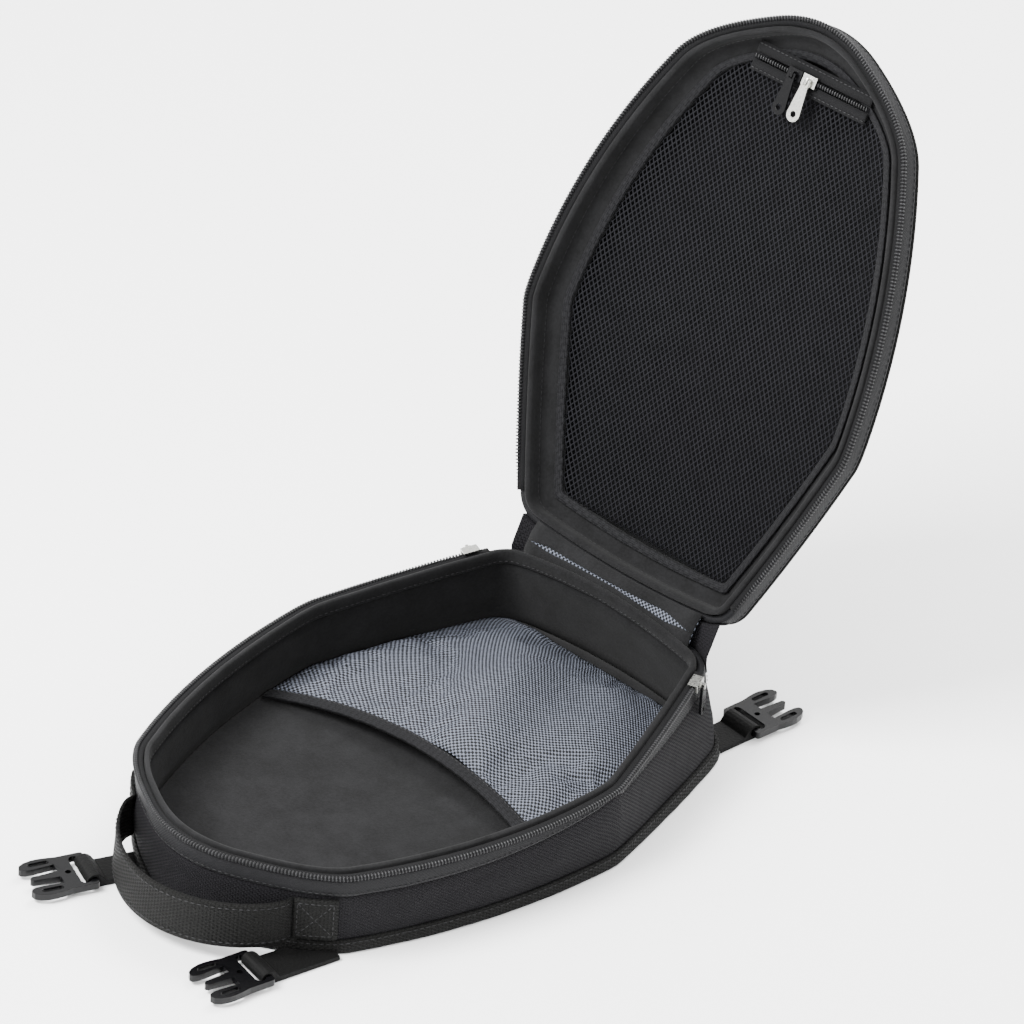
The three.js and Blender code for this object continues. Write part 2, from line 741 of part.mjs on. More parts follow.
function addNetPocket() {
  add(lid, 'mesh_pocket_binding', band([
    lidRow([14.5, 10.6]),
    lidRow([19, 11]),
    lidRow([19, 12]),
    lidRow([14.5, 11.6]),
  ]), elastic);
  const ring = lidRow([NET_INSET, 12.5]);
  const from = POCKET_ZIP_Y + 3;
  const to = HINGE_Y + HINGE_BOW - NET_INSET - 1.5;
  const rows = 12;
  const columns = 12;
  const grid = (level) => {
    const lines = [];
    for (let row = 0; row <= rows; row += 1) {
      const y = THREE.MathUtils.lerp(from, to, row / rows);
      const half = halfWidthAt(ring, y);
      const line = [];
      for (let i = 0; i <= columns; i += 1) {
        const across = 2 * i / columns - 1;
        const bulge = NET_BULGE * (1 - across ** 2) * Math.sin(Math.PI * row / rows);
        const x = across * half;
        line.push(new THREE.Vector3(x, y, rimHeight(x, y) + 12.4 + level - bulge));
      }
      lines.push(line);
    }
    return lines;
  };
  add(lid, 'mesh_pocket_net', slab(grid(NET_THICK), grid(0)), net);
}

// ---- sliders and pulls -------------------------------------------------------------------

// Slider body drawn with its travel along X and its lug on +Z. The channel straddles a coil.
function sliderBody(channelWidth, channelDepth, isOpenSided) {
  const plate = 1;
  const wall = 1.1;
  const width = channelWidth + 2 * wall;
  const body = block(0, 0, (plate - channelDepth) / 2, SLIDER_LENGTH, width, plate + channelDepth);
  const channel = block(0, isOpenSided ? -wall : 0, -channelDepth / 2 - 0.5,
    SLIDER_LENGTH + 2, channelWidth + (isOpenSided ? 2 * wall : 0), channelDepth + 1);
  return cut(body, channel);
}

function withLug(body, reach, y = 0) {
  const lug = block(0, y, reach / 2 + 0.5, LUG_THICK, 3.2, reach + 1);
  const eye = rodAlongX(PIN_RADIUS + GAP, LUG_THICK + 2, y, reach);
  return cut(join(body, lug), eye);
}

// A pull hanging along -Y from its pin, which lies along X at the origin.
function pull(length, neck, bulb, thick, holeRadius) {
  const half = neck / 2;
  const end = length - bulb / 2;
  const shape = new THREE.Shape();
  shape.moveTo(half, -2.4);
  shape.lineTo(bulb / 2, -end);
  shape.absarc(0, -end, bulb / 2, 0, -Math.PI, true);
  shape.lineTo(-half, -2.4);
  shape.closePath();
  const hole = new THREE.Path();
  hole.absarc(0, -end, holeRadius, 0, 2 * Math.PI, false);
  shape.holes.push(hole);
  const ear = (side) => block(side * (LUG_THICK / 2 + 0.9), -1.2, 0, 1, 3.8, thick);
  const pin = rodAlongX(PIN_RADIUS, LUG_THICK + 2.4, 0, 0);
  return join(flatPiece(shape, thick, 6), ear(-1), ear(1), pin);
}

// The two sliders of the pocket zip meet near its middle, and their pulls lie on the net.
const POCKET_SLIDERS = [
  { name: 'right', x: 0, material: plated },
  { name: 'left', x: -SLIDER_LENGTH - 0.6, material: acetal },
];
const POCKET_COIL_HALF = 1.6;
const POCKET_COIL_THICK = 2.1;

function addPocketZip() {
  const level = rimHeight(0, POCKET_ZIP_Y) + POCKET_ZIP_LEVEL;
  const length = 2 * POCKET_ZIP_HALF;
  const tape = (side) => block(0, side * 4.9, 0.4, length, 6, 0.8);
  const zip = new THREE.Group();
  zip.position.set(0, POCKET_ZIP_Y, level);
  lid.add(zip);
  add(zip, 'pocket_zip_tape_net', tape(1), zipTape);
  add(zip, 'pocket_zip_tape_tip', tape(-1), zipTape);
  const coil = block(0, 0, 0.6 - POCKET_COIL_THICK / 2, length, 2 * POCKET_COIL_HALF,
    POCKET_COIL_THICK);
  add(zip, 'pocket_zip_coil', coil, nylonCoil);

  const top = 0.6 - POCKET_COIL_THICK - GAP;
  const lugReach = 2.7;
  for (const { name, x, material } of POCKET_SLIDERS) {
    const rider = new THREE.Group();
    rider.position.set(x, 0, top);
    rider.rotation.x = Math.PI;
    zip.add(rider);
    const body = sliderBody(2 * (POCKET_COIL_HALF + GAP), 1.5, false);
    add(rider, `pocket_zip_slider_${name}`, withLug(body, lugReach), material);
    const tag = pull(22, 4.4, 8, 1.2, 1.7);
    add(rider, `pocket_zip_pull_${name}`, tag.translate(0, 0, lugReach), material);
  }
}

// The main zip's two sliders are parked at its rear ends, each with its pull hanging outside.
const MAIN_SLIDERS = [
  { name: 'left', from: AFTER_HINGE_CORNER, to: AFTER_HINGE_CORNER + 1 },
  { name: 'right', from: BEFORE_HINGE_CORNER - 1, to: BEFORE_HINGE_CORNER },
];

function addMainSliders() {
  const coilTop = rimRow([-1.35, 0.5]);
  for (const { name, from, to } of MAIN_SLIDERS) {
    const along = coilTop[to].clone().sub(coilTop[from]).normalize();
    const up = new THREE.Vector3(0, 0, 1).addScaledVector(along, -along.z).normalize();
    const outward = along.clone().cross(up);
    const place = new THREE.Group();
    const nearHinge = name === 'left' ? 0.3 : 0.7;
    place.position.copy(coilTop[from]).lerp(coilTop[to], nearHinge).addScaledVector(up, GAP);
    const basis = new THREE.Matrix4().makeBasis(along.clone().negate(), outward, up);
    place.rotation.setFromRotationMatrix(basis);
    bag.add(place);
    const body = sliderBody(3.3, 3.2, true);
    const lug = block(0, 3.6, -1.1, LUG_THICK, 3.4, 3);
    const eye = rodAlongX(PIN_RADIUS + GAP, LUG_THICK + 2, 4.2, -1.1);
    add(place, `main_zip_slider_${name}`, cut(join(body, lug), eye), plated);
    const tag = pull(18, 4.4, 6.4, 1.4, 1.4).rotateX(Math.PI / 2).translate(0, 4.2, -1.1);
    add(place, `main_zip_pull_${name}`, tag, acetal);
  }
}

// ---- hinge fabric ------------------------------------------------------------------------

// Sheets along the hinge edge, from the base rim to the open lid's rim.
function addHingeFabric() {
  const opening = new THREE.Matrix4().makeTranslation(0, HINGE_AXIS_Y, HINGE_AXIS_Z)
    .multiply(new THREE.Matrix4().makeRotationX(lidPivot.rotation.x))
    .multiply(new THREE.Matrix4().makeTranslation(0, -HINGE_AXIS_Y, -HINGE_AXIS_Z));
  const openRow = (pair) => lidRow(pair).map((point) => point.applyMatrix4(opening));
  const from = HINGE_RIGHT;
  const to = OUTLINE_COUNT;
  add(bag, 'hinge_cover', strip([
    rimRow([-1.3, 10]),
    rimRow([-1.3, 1.2]),
    openRow([-1.3, 4.2]),
    openRow([-1.3, 10]),
    openRow([-2.1, 10]),
    openRow([-2.1, 4.6]),
    rimRow([-2.1, 1.8]),
    rimRow([-2.1, 10]),
  ], from, to), cordura);
  add(bag, 'hinge_lining_mesh', strip([
    rimRow([2.9, 2.8]),
    openRow([2.9, 2.3]),
    openRow([2.9, 3.1]),
    rimRow([2, 2.8]),
  ], from, to), airMesh);
}

addBasePanels();
addBaseZip();
addFloorPocket();
addHandle();
addBuckles();
addLidShells();
addLidZip();
addNetPocket();
addPocketZip();
addMainSliders();
addHingeFabric();

export default bag;
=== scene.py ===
"""Motorcycle tank bag with its lid open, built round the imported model.

Lengths in the script are millimetres unless a name ends in _m. +Y runs from the handle end to the
hinge, +Z is up, and the origin is the centre of the flat underside.
"""
import math

import bmesh
import bpy
import numpy as np
from mathutils import Matrix, Vector, noise


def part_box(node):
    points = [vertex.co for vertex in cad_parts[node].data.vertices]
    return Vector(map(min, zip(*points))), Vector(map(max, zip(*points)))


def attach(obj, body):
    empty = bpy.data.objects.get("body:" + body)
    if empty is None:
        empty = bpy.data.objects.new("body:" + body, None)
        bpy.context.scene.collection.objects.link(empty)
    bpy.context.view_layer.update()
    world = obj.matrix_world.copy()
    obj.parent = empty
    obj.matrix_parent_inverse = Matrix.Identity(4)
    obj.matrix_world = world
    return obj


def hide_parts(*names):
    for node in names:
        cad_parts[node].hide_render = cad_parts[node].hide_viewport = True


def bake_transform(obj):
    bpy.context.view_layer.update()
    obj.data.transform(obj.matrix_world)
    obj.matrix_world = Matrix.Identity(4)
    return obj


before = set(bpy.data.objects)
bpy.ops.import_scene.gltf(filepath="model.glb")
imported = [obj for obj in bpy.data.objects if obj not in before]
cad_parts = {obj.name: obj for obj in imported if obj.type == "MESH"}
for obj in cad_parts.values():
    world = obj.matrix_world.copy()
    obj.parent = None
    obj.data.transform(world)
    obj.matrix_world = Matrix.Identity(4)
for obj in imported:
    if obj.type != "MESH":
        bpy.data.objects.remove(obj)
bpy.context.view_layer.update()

MM = 0.001

# ---- the bag's plan outline and walls ------------------------------------------------------

RIM_LENGTH = 290
TIP_Y, HINGE_Y = -RIM_LENGTH / 2, RIM_LENGTH / 2
WIDE_Y = TIP_Y + 178
WIDE_HALF = 110
DETAIL = 6  # points here for each step of the CAD outline
SMALLEST_RADIUS = 4

# x, y, corner radius, steps in the corner, bow of the edge after it, steps in that edge.
CORNERS = [
    (-70, HINGE_Y, 18, 3, 1, 3),
    (-WIDE_HALF, WIDE_Y, 30, 3, 7, 4),
    (-66, TIP_Y, 48, 5, 7, 3),
    (66, TIP_Y, 48, 5, 7, 4),
    (WIDE_HALF, WIDE_Y, 30, 3, 1, 3),
    (70, HINGE_Y, 18, 3, 3.5, 3),
]
AFTER_HINGE_CORNER = 3 * DETAIL
WIDE_LEFT = 7.5 * DETAIL
TIP_LEFT = 13 * DETAIL
TIP_RIGHT = 26 * DETAIL
WIDE_RIGHT = 31.5 * DETAIL
BEFORE_HINGE_CORNER = 36 * DETAIL
HINGE_RIGHT = 39 * DETAIL
COUNT = 42 * DETAIL

LID_OPEN = math.radians(116)
AXIS_Y, AXIS_Z = HINGE_Y + 5.9, 64
CAVITY_FLOOR = 9.6

opening = (
    Matrix.Translation((0, AXIS_Y, AXIS_Z))
    @ Matrix.Rotation(-LID_OPEN, 4, "X")
    @ Matrix.Translation((0, -AXIS_Y, -AXIS_Z))
)
OPEN_TURN = np.array(opening)


def lerp(a, b, t):
    return a + (b - a) * t


def bezier(a, b, c, steps):
    t = np.linspace(0, 1, steps, endpoint=False)[:, None]
    return (1 - t) ** 2 * a + 2 * t * (1 - t) * b + t * t * c


def plan(grow=0.0):
    """The outline moved outward by grow, anticlockwise from the left end of the hinge edge."""
    count = len(CORNERS)
    at = np.array([corner[:2] for corner in CORNERS], float)
    ways = np.roll(at, -1, 0) - at
    ways /= np.linalg.norm(ways, axis=1)[:, None]
    outward = np.stack([ways[:, 1], -ways[:, 0]], 1)
    before = np.roll(outward, 1, 0)
    moved = at + grow * (before + outward) / (1 + (before * outward).sum(1))[:, None]
    turns = np.arccos((np.roll(ways, 1, 0) * ways).sum(1))
    cuts = [
        max(corner[2] + grow, SMALLEST_RADIUS) * math.tan(turn / 2)
        for corner, turn in zip(CORNERS, turns)
    ]
    edges = []
    for i, corner in enumerate(CORNERS):
        j = (i + 1) % count
        start = moved[i] + ways[i] * cuts[i]
        end = moved[j] - ways[i] * cuts[j]
        edges.append((start, (start + end) / 2 + outward[i] * 2 * corner[4], end))
    points = []
    for i, corner in enumerate(CORNERS):
        last, here = edges[i - 1], edges[i]
        way_in, way_out = last[2] - last[1], here[1] - here[0]
        gap = here[0] - last[2]
        turn = way_in[0] * way_out[1] - way_in[1] * way_out[0]
        reach = (gap[0] * way_out[1] - gap[1] * way_out[0]) / turn
        points.append(bezier(last[2], last[2] + way_in * reach, here[0], corner[3] * DETAIL))
        points.append(bezier(*here, corner[5] * DETAIL))
    return np.concatenate(points)


def outward_of(points):
    along = np.roll(points[:, :2], -DETAIL, 0) - np.roll(points[:, :2], DETAIL, 0)
    along /= np.linalg.norm(along, axis=1)[:, None]
    return np.stack([along[:, 1], -along[:, 0]], 1)


def rim_height(x, y):
    return lerp(50, 62, (y - TIP_Y) / RIM_LENGTH) - 11 * (x / WIDE_HALF) ** 2


def ground_lean(x, y):
    return lerp(3, 16, (y - TIP_Y) / RIM_LENGTH) - 9 * (x / WIDE_HALF) ** 2


def base_ring(inset, share, extra, out=0.0):
    """Points round the base: inset from its wall, at a share of the rim height plus extra."""
    points = plan(-inset)
    rim = rim_height(points[:, 0], points[:, 1])
    z = share * rim + extra
    depth = np.clip(1 - z / rim, 0, None)
    lean = ground_lean(points[:, 0], points[:, 1]) * depth**1.2 + out
    flat = points + outward_of(points) * lean[:, None]
    return np.column_stack([flat, z])


def lid_closed_ring(inset, height):
    """Points round the closed lid, a height above its parting plane."""
    points = plan(-inset)
    z = rim_height(points[:, 0], points[:, 1]) + height
    return np.column_stack([points, z])


def opened(points):
    """Points of the closed lid, turned to where they are when it is open."""
    points = np.asarray(points, float)
    return points @ OPEN_TURN[:3, :3].T + OPEN_TURN[:3, 3]


def turned(ways):
    """Directions on the closed lid, as they point when it is open."""
    return ways @ OPEN_TURN[:3, :3].T


def lid_ring(inset, height):
    return opened(lid_closed_ring(inset, height))


def rim_row(inset, down):
    """A row below the rim, by one depth or by a depth for each point."""
    return base_ring(inset, 1, -down)


def ground_row(inset, up):
    return base_ring(inset, 0, up)


def around(place, spread=2.6):
    """How near each outline point is to a place on it, 1 at the place and falling to 0."""
    gap = np.abs(np.arange(COUNT) - place)
    gap = np.minimum(gap, COUNT - gap) / DETAIL
    return np.exp(-((gap / spread) ** 2))


def joined(row):
    """A row round the bag with its first point again at its end."""
    return np.vstack([row, row[:1]])


# ---- meshes --------------------------------------------------------------------------------

SAME_POINT = 1e-3


def keep(name, bm):
    """Makes an object of a bmesh whose vertices are in millimetres."""
    bmesh.ops.scale(bm, vec=(MM, MM, MM), verts=bm.verts)
    mesh = bpy.data.meshes.new(name)
    bm.to_mesh(mesh)
    bm.free()
    mesh.shade_smooth()
    piece = bpy.data.objects.new(name, mesh)
    bpy.context.collection.objects.link(piece)
    return piece


def grid(rows, loop=False, tube=False, caps=False):
    """A grid laid on rows of points. loop joins the ends of each row, tube joins the last row
    to the first, and caps fills the first and last rows. Its UV map is in millimetres."""
    rows = [np.asarray(row, float) for row in rows]
    if loop:
        rows = [joined(row) for row in rows]
    if tube:
        rows.append(rows[0])
    points = np.array(rows)
    across, along = points.shape[1] - 1, points.shape[0] - 1
    bm = bmesh.new()
    layer = bm.loops.layers.uv.new("UVMap")
    bmesh.ops.create_grid(bm, x_segments=across, y_segments=along, size=1)
    middle = points[len(points) // 2]
    u = np.concatenate([[0], np.cumsum(np.linalg.norm(np.diff(middle, axis=0), axis=1))])
    steps = np.linalg.norm(np.diff(points, axis=0), axis=2).mean(1)
    v = np.concatenate([[0], np.cumsum(steps)])
    flat = points.reshape(-1, 3)
    bm.verts.ensure_lookup_table()
    for vert, point in zip(bm.verts, flat):
        vert.co = point
    for face in bm.faces:
        for corner in face.loops:
            row, column = divmod(corner.vert.index, across + 1)
            corner[layer].uv = (u[column], v[row])
    if loop or tube:
        bmesh.ops.remove_doubles(bm, verts=bm.verts, dist=SAME_POINT)
    if caps:
        bmesh.ops.holes_fill(bm, edges=[edge for edge in bm.edges if edge.is_boundary], sides=0)
        bmesh.ops.triangulate(bm, faces=[face for face in bm.faces if len(face.verts) > 4])
    bmesh.ops.recalc_face_normals(bm, faces=bm.faces)
    return bm


def thicken(piece, thick):
    """Gives a sheet a thickness, half to each side."""
    solid = piece.modifiers.new("thickness", "SOLIDIFY")
    solid.thickness = thick * MM
    solid.offset = 0


def settle(piece):
    """Applies a piece's modifiers, so that its mesh is final."""
    shown = piece.evaluated_get(bpy.context.evaluated_depsgraph_get())
    final = bpy.data.meshes.new_from_object(shown)
    final.name = piece.name
    piece.modifiers.clear()
    piece.data = final
    return piece


def ripple(point, size, seed):
    """Smooth noise from -1 to 1 with lumps of a size in millimetres."""
    spot = Vector((point[0] / size + seed, point[1] / size - seed, point[2] / size))
    return noise.noise(spot)


def rippled(rows, depth, size, seed, ways, weights=None):
    """Rows pushed along outward ways by smooth noise, the middle rows the most."""
    done = []
    for k, row in enumerate(rows):
        weight = weights[k] if weights else 1
        push = [depth * weight * ripple(point, size, seed) for point in row]
        moved = row.copy()
        moved[:, :2] += ways * np.array(push)[:, None]
        done.append(moved)
    return done


def repeat(name, unit, places):
    """One mesh of many copies of a small unit mesh, each at its own matrix."""
    bm = bmesh.new()
    for place in places:
        copy = unit.copy()
        copy.transform(place)
        bm.from_mesh(copy)
        bpy.data.meshes.remove(copy)
    return keep(name, bm)


def bead(length, width, height, around_count=6, rings=4):
    """A small rounded bead lying along X."""
    bm = bmesh.new()
    bmesh.ops.create_uvsphere(bm, u_segments=around_count, v_segments=rings, radius=0.5)
    bmesh.ops.rotate(bm, matrix=Matrix.Rotation(math.pi / 2, 3, "Y"), verts=bm.verts)
    bmesh.ops.scale(bm, vec=(length, width, height), verts=bm.verts)
    mesh = bpy.data.meshes.new("bead")
    bm.to_mesh(mesh)
    bm.free()
    return mesh


def along_path(path, outward, pitch, start=0.0):
    """Matrices every pitch along a path, with X along it and Z outward."""
    path, outward = np.asarray(path, float), np.asarray(outward, float)
    steps = np.linalg.norm(np.diff(path, axis=0), axis=1)
    run = np.concatenate([[0], np.cumsum(steps)])
    count = int((run[-1] - 2 * start) / pitch)
    places = []
    for k in range(count + 1):
        s = start + (k + 0.5) * pitch
        if s > run[-1] - start:
            break
        point = [np.interp(s, run, path[:, axis]) for axis in range(3)]
        ahead = [np.interp(s + 0.4, run, path[:, axis]) for axis in range(3)]
        behind = [np.interp(s - 0.4, run, path[:, axis]) for axis in range(3)]
        out = [np.interp(s, run, outward[:, axis]) for axis in range(3)]
        x = (Vector(ahead) - Vector(behind)).normalized()
        z = Vector(out)
        z = (z - x * z.dot(x)).normalized()
        y = z.cross(x)
        place = Matrix((x, y, z)).transposed().to_4x4()
        place.translation = Vector(point)
        places.append(place)
    return places


def flat_ways(points, z=0.0):
    return np.column_stack([outward_of(points), np.full(len(points), z)])


STITCH = bead(2.3, 0.55, 0.45)


def stitch_row(name, path, ways, body, pitch=3.2):
    """A line of lock stitches lying on a surface."""
    piece = repeat(name, STITCH, along_path(path, ways, pitch))
    return finish_piece(piece, body, "webbing", "bonded nylon thread")


def stitch_round(name, seam, ways, body, pitch=3.2):
    """A line of stitches along a whole row round the bag."""
    return stitch_row(name, joined(seam), joined(ways), body, pitch)


# ---- materials -----------------------------------------------------------------------------


def linear(code):
    """An sRGB hex colour as linear RGBA."""
    parts = [int(code[k : k + 2], 16) / 255 for k in (1, 3, 5)]
    return [c / 12.92 if c <= 0.04045 else ((c + 0.055) / 1.055) ** 2.4 for c in parts] + [1]


def add(tree, kind, settings=None, links=None):
    """Adds a node. Settings name its inputs or its properties; links join outputs to inputs."""
    made = tree.nodes.new("ShaderNode" + kind)
    for key, value in (settings or {}).items():
        if isinstance(key, int) or key in made.inputs:
            made.inputs[key].default_value = value
        else:
            setattr(made, key, value)
    for key, source in (links or {}).items():
        tree.links.new(source, made.inputs[key])
    return made


def ramp(tree, factor, stops):
    made = add(tree, "ValToRGB", links={"Fac": factor})
    elements = made.color_ramp.elements
    while len(elements) < len(stops):
        elements.new(0.5)
    for element, (position, code) in zip(elements, stops):
        element.position = position
        element.color = linear(code)
    return made.outputs["Color"]


def start_material(name, rough, **settings):
    material = bpy.data.materials.new(name)
    material.use_nodes = True
    tree = material.node_tree
    shader = tree.nodes["Principled BSDF"]
    shader.inputs["Roughness"].default_value = rough
    for key, value in settings.items():
        shader.inputs[key.replace("_", " ")].default_value = value
    return material, tree, shader


def bump(tree, shader, height, strength, distance):
    made = add(
        tree, "Bump", {"Strength": strength, "Distance": distance * MM}, {"Height": height}
    )
    tree.links.new(made.outputs["Normal"], shader.inputs["Normal"])


def maths(tree, operation, a, b=None):
    made = tree.nodes.new("ShaderNodeMath")
    made.operation = operation
    for slot, value in enumerate((a, b)):
        if value is None:
            continue
        if isinstance(value, (int, float)):
            made.inputs[slot].default_value = value
        else:
            tree.links.new(value, made.inputs[slot])
    return made.outputs[0]


def threads(tree, along, across):
    """A plain weave on the UV map: the height of warp and weft threads of two spacings, mm."""
    uv = add(tree, "UVMap", {"uv_map": "UVMap"}).outputs["UV"]
    parts = add(tree, "SeparateXYZ", links={0: uv})
    u = maths(tree, "MULTIPLY", parts.outputs[0], math.pi / along)
    v = maths(tree, "MULTIPLY", parts.outputs[1], math.pi / across)
    wave_u = maths(tree, "SINE", u)
    wave_v = maths(tree, "SINE", v)
    over = maths(tree, "MULTIPLY", wave_u, wave_v)
    side_u = maths(tree, "ABSOLUTE", wave_u)
    side_v = maths(tree, "ABSOLUTE", wave_v)
    which = maths(tree, "GREATER_THAN", over, 0.0)
    warp = maths(tree, "MULTIPLY", side_u, which)
    weft = maths(tree, "MULTIPLY", side_v, maths(tree, "SUBTRACT", 1.0, which))
    return maths(tree, "ADD", warp, weft)


def object_noise(tree, size, detail=3.0, roughness=0.55):
    """Noise in the bag's own coordinates, with lumps of a size in millimetres."""
    place = add(tree, "TexCoord").outputs["Object"]
    settings = {"Scale": 1 / (size * MM), "Detail": detail, "Roughness": roughness}
    return add(tree, "TexNoise", settings, {"Vector": place}).outputs[0]


def woven(name, dark, light, along, across, rough, sheen, depth, patch=45):
    """Woven cloth: threads with a small colour change that paints their tops lighter and the
    hollows between them darker, a painted highlight and shade, plus the yarn's own flecks and slow
    fading over the panel.
    """
    material, tree, shader = start_material(
        name, rough, Sheen_Weight=sheen, Sheen_Roughness=0.45, Specular_IOR_Level=0.12
    )
    height = threads(tree, along, across)
    fleck = object_noise(tree, 1.6, 2.0)
    fade = object_noise(tree, patch, 3.0)
    # the thread height lightens the tops and darkens the hollows as painted highlight and shade;
    # the flecks and fading are the yarn's own tone
    mixed = maths(tree, "ADD", maths(tree, "MULTIPLY", height, 0.55),
                  maths(tree, "MULTIPLY", fleck, 0.45))
    mixed = maths(tree, "ADD", maths(tree, "MULTIPLY", mixed, 0.75),
                  maths(tree, "MULTIPLY", fade, 0.35))
    colour = ramp(tree, mixed, [(0.25, dark), (0.85, light)])
    tree.links.new(colour, shader.inputs["Base Color"])
    total = maths(tree, "ADD", height, maths(tree, "MULTIPLY", fleck, 0.8))
    bump(tree, shader, total, 0.7, depth)
    return material


def build_materials():
    made = {}
    # Coarse textured polyester dulls the light and shows its thick flecked yarns.
    made["woven polyester 1680D"] = woven(
        "woven polyester 1680D", "#030304", "#111013", 1.3, 1.1, 0.8, 0.005, 0.6)
    # Finer, calendered polyester is a little smoother.
    made["woven polyester 600D"] = woven(
        "woven polyester 600D", "#0b0b0c", "#141416", 0.8, 0.7, 0.6, 0.01, 0.18)
    # Heavy webbing has ribs across it, drawn every 1.9 mm.
    made["ribbed polypropylene webbing"] = woven(
        "ribbed polypropylene webbing", "#030303", "#0c0c0b", 1.9, 1.0, 0.7, 0.005, 0.8)
    # Narrow tape with a close twill.
    made["woven zip tape"] = woven(
        "woven zip tape", "#070708", "#101011", 0.9, 0.9, 0.85, 0.01, 0.15)
    # Knitted elastic has fine ribs along it.
    made["knitted elastic"] = woven(
        "knitted elastic", "#070708", "#131315", 3.4, 1.2, 0.75, 0.015, 0.4)

    # Brushed tricot is a deep matt black whose short nap lights up at a grazing view.
    material, tree, shader = start_material(
        "brushed tricot", 0.95, Sheen_Weight=0.03, Sheen_Roughness=0.6, Specular_IOR_Level=0.08
    )
    nap = object_noise(tree, 1.4, 4.0, 0.7)
    brushed = object_noise(tree, 14, 3.0)
    mixed = maths(tree, "ADD", maths(tree, "MULTIPLY", nap, 0.6),
                  maths(tree, "MULTIPLY", brushed, 0.5))
    tree.links.new(ramp(tree, mixed, [(0.3, "#080808"), (0.8, "#1a1a1b")]),
                   shader.inputs["Base Color"])
    bump(tree, shader, mixed, 0.6, 0.5)
    made["brushed tricot"] = material

    # Black pocket net, its knots painted lighter as a painted highlight where they catch the light.
    material, tree, shader = start_material("knotted polyester net", 0.6, Specular_IOR_Level=0.06)
    knot = add(tree, "VertexColor", {"layer_name": "knot"}).outputs["Color"]
    fleck = object_noise(tree, 9, 3.0)
    shade = maths(tree, "MULTIPLY", knot, maths(tree, "ADD", fleck, 0.5))
    tree.links.new(ramp(tree, shade, [(0.1, "#020203"), (0.9, "#151518")]),
                   shader.inputs["Base Color"])
    made["knotted polyester net"] = material

    # Knitted air mesh: light yarn round dark holes in staggered rows. They are about 2 mm apart
    # in the real cloth, and drawn at 2.5 mm so that they show.
    material, tree, shader = start_material(
        "knitted air mesh", 0.6, Specular_IOR_Level=0.2
    )
    uv = add(tree, "UVMap", {"uv_map": "UVMap"}).outputs["UV"]
    parts = add(tree, "SeparateXYZ", links={0: uv})
    pitch = 2.5
    u = maths(tree, "MULTIPLY", parts.outputs[0], 2 * math.pi / pitch)
    v = maths(tree, "MULTIPLY", parts.outputs[1], 2 * math.pi / pitch)
    holes = maths(tree, "MULTIPLY", maths(tree, "COSINE", u), maths(tree, "COSINE", v))
    blur = maths(tree, "MULTIPLY", object_noise(tree, 2.0, 2.0), 0.5)
    yarn = maths(tree, "ADD", maths(tree, "MULTIPLY", holes, 0.8), blur)
    colour = ramp(tree, yarn, [(0.0, "#5b5f69"), (0.18, "#454852"), (0.42, "#040506")])
    tree.links.new(colour, shader.inputs["Base Color"])
    bump(tree, shader, maths(tree, "MULTIPLY", yarn, -1.0), 0.7, 0.6)
    made["knitted air mesh"] = material

    # Moulded nylon teeth are smooth with a soft gloss.
    material, tree, shader = start_material("nylon coil teeth", 0.4, Specular_IOR_Level=0.3)
    tree.links.new(ramp(tree, object_noise(tree, 5, 2.0), [(0.3, "#0a0a0b"), (0.8, "#1d1d1f")]),
                   shader.inputs["Base Color"])
    made["nylon coil teeth"] = material

    # Thread is rounder and shinier than the cloth it lies on.
    material, tree, shader = start_material("bonded nylon thread", 0.5, Specular_IOR_Level=0.25)
    tree.links.new(ramp(tree, object_noise(tree, 3, 2.0), [(0.3, "#0d0d0e"), (0.8, "#202022")]),
                   shader.inputs["Base Color"])
    made["bonded nylon thread"] = material

    # Injection-moulded acetal: gloss black with a faint orange-peel skin and handling marks.
    material, tree, shader = start_material("moulded acetal", 0.3, IOR=1.48, Specular_IOR_Level=0.2)
    skin = object_noise(tree, 2.2, 2.0)
    marks = object_noise(tree, 0.7, 5.0, 0.8)
    tree.links.new(ramp(tree, marks, [(0.3, "#030304"), (0.8, "#0a0a0b")]),
                   shader.inputs["Base Color"])
    rough = add(tree, "MapRange", {"To Min": 0.12, "To Max": 0.34}, {"Value": marks})
    tree.links.new(rough.outputs[0], shader.inputs["Roughness"])
    bump(tree, shader, skin, 0.35, 0.12)
    made["moulded acetal"] = material

    # Nickel-plated zinc casting, polished, with fine rub marks.
    material, tree, shader = start_material("nickel-plated zinc", 0.25, Metallic=1.0)
    rub = object_noise(tree, 0.9, 5.0, 0.75)
    tree.links.new(ramp(tree, rub, [(0.3, "#a9a9a4"), (0.75, "#d3d3ce")]),
                   shader.inputs["Base Color"])
    rough = add(tree, "MapRange", {"To Min": 0.16, "To Max": 0.4}, {"Value": rub})
    tree.links.new(rough.outputs[0], shader.inputs["Roughness"])
    bump(tree, shader, rub, 0.2, 0.1)
    made["nickel-plated zinc"] = material

    # Extruded polyethylene board: dull and faintly grained.
    material, tree, shader = start_material("polyethylene board", 0.6)
    tree.links.new(ramp(tree, object_noise(tree, 1.2), [(0.3, "#202022"), (0.8, "#303033")]),
                   shader.inputs["Base Color"])
    made["polyethylene board"] = material
    return made


MATERIALS = build_materials()


def finish_piece(piece, body, slot, material, *nodes):
    """Gives a piece its material and its body, and hides the CAD nodes that it stands for. The slot
    is not used.
    """
    piece.data.materials.clear()
    piece.data.materials.append(MATERIALS[material])
    if body:
        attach(piece, body)
    if nodes:
        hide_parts(*nodes)
    return piece


def strip_round(name, rows, body, finish, node):
    """A closed strip right round the bag, whose section the rows give, standing for a CAD node."""
    strip = keep(name, grid(rows, loop=True, tube=True))
    return finish_piece(strip, body, *finish, node)


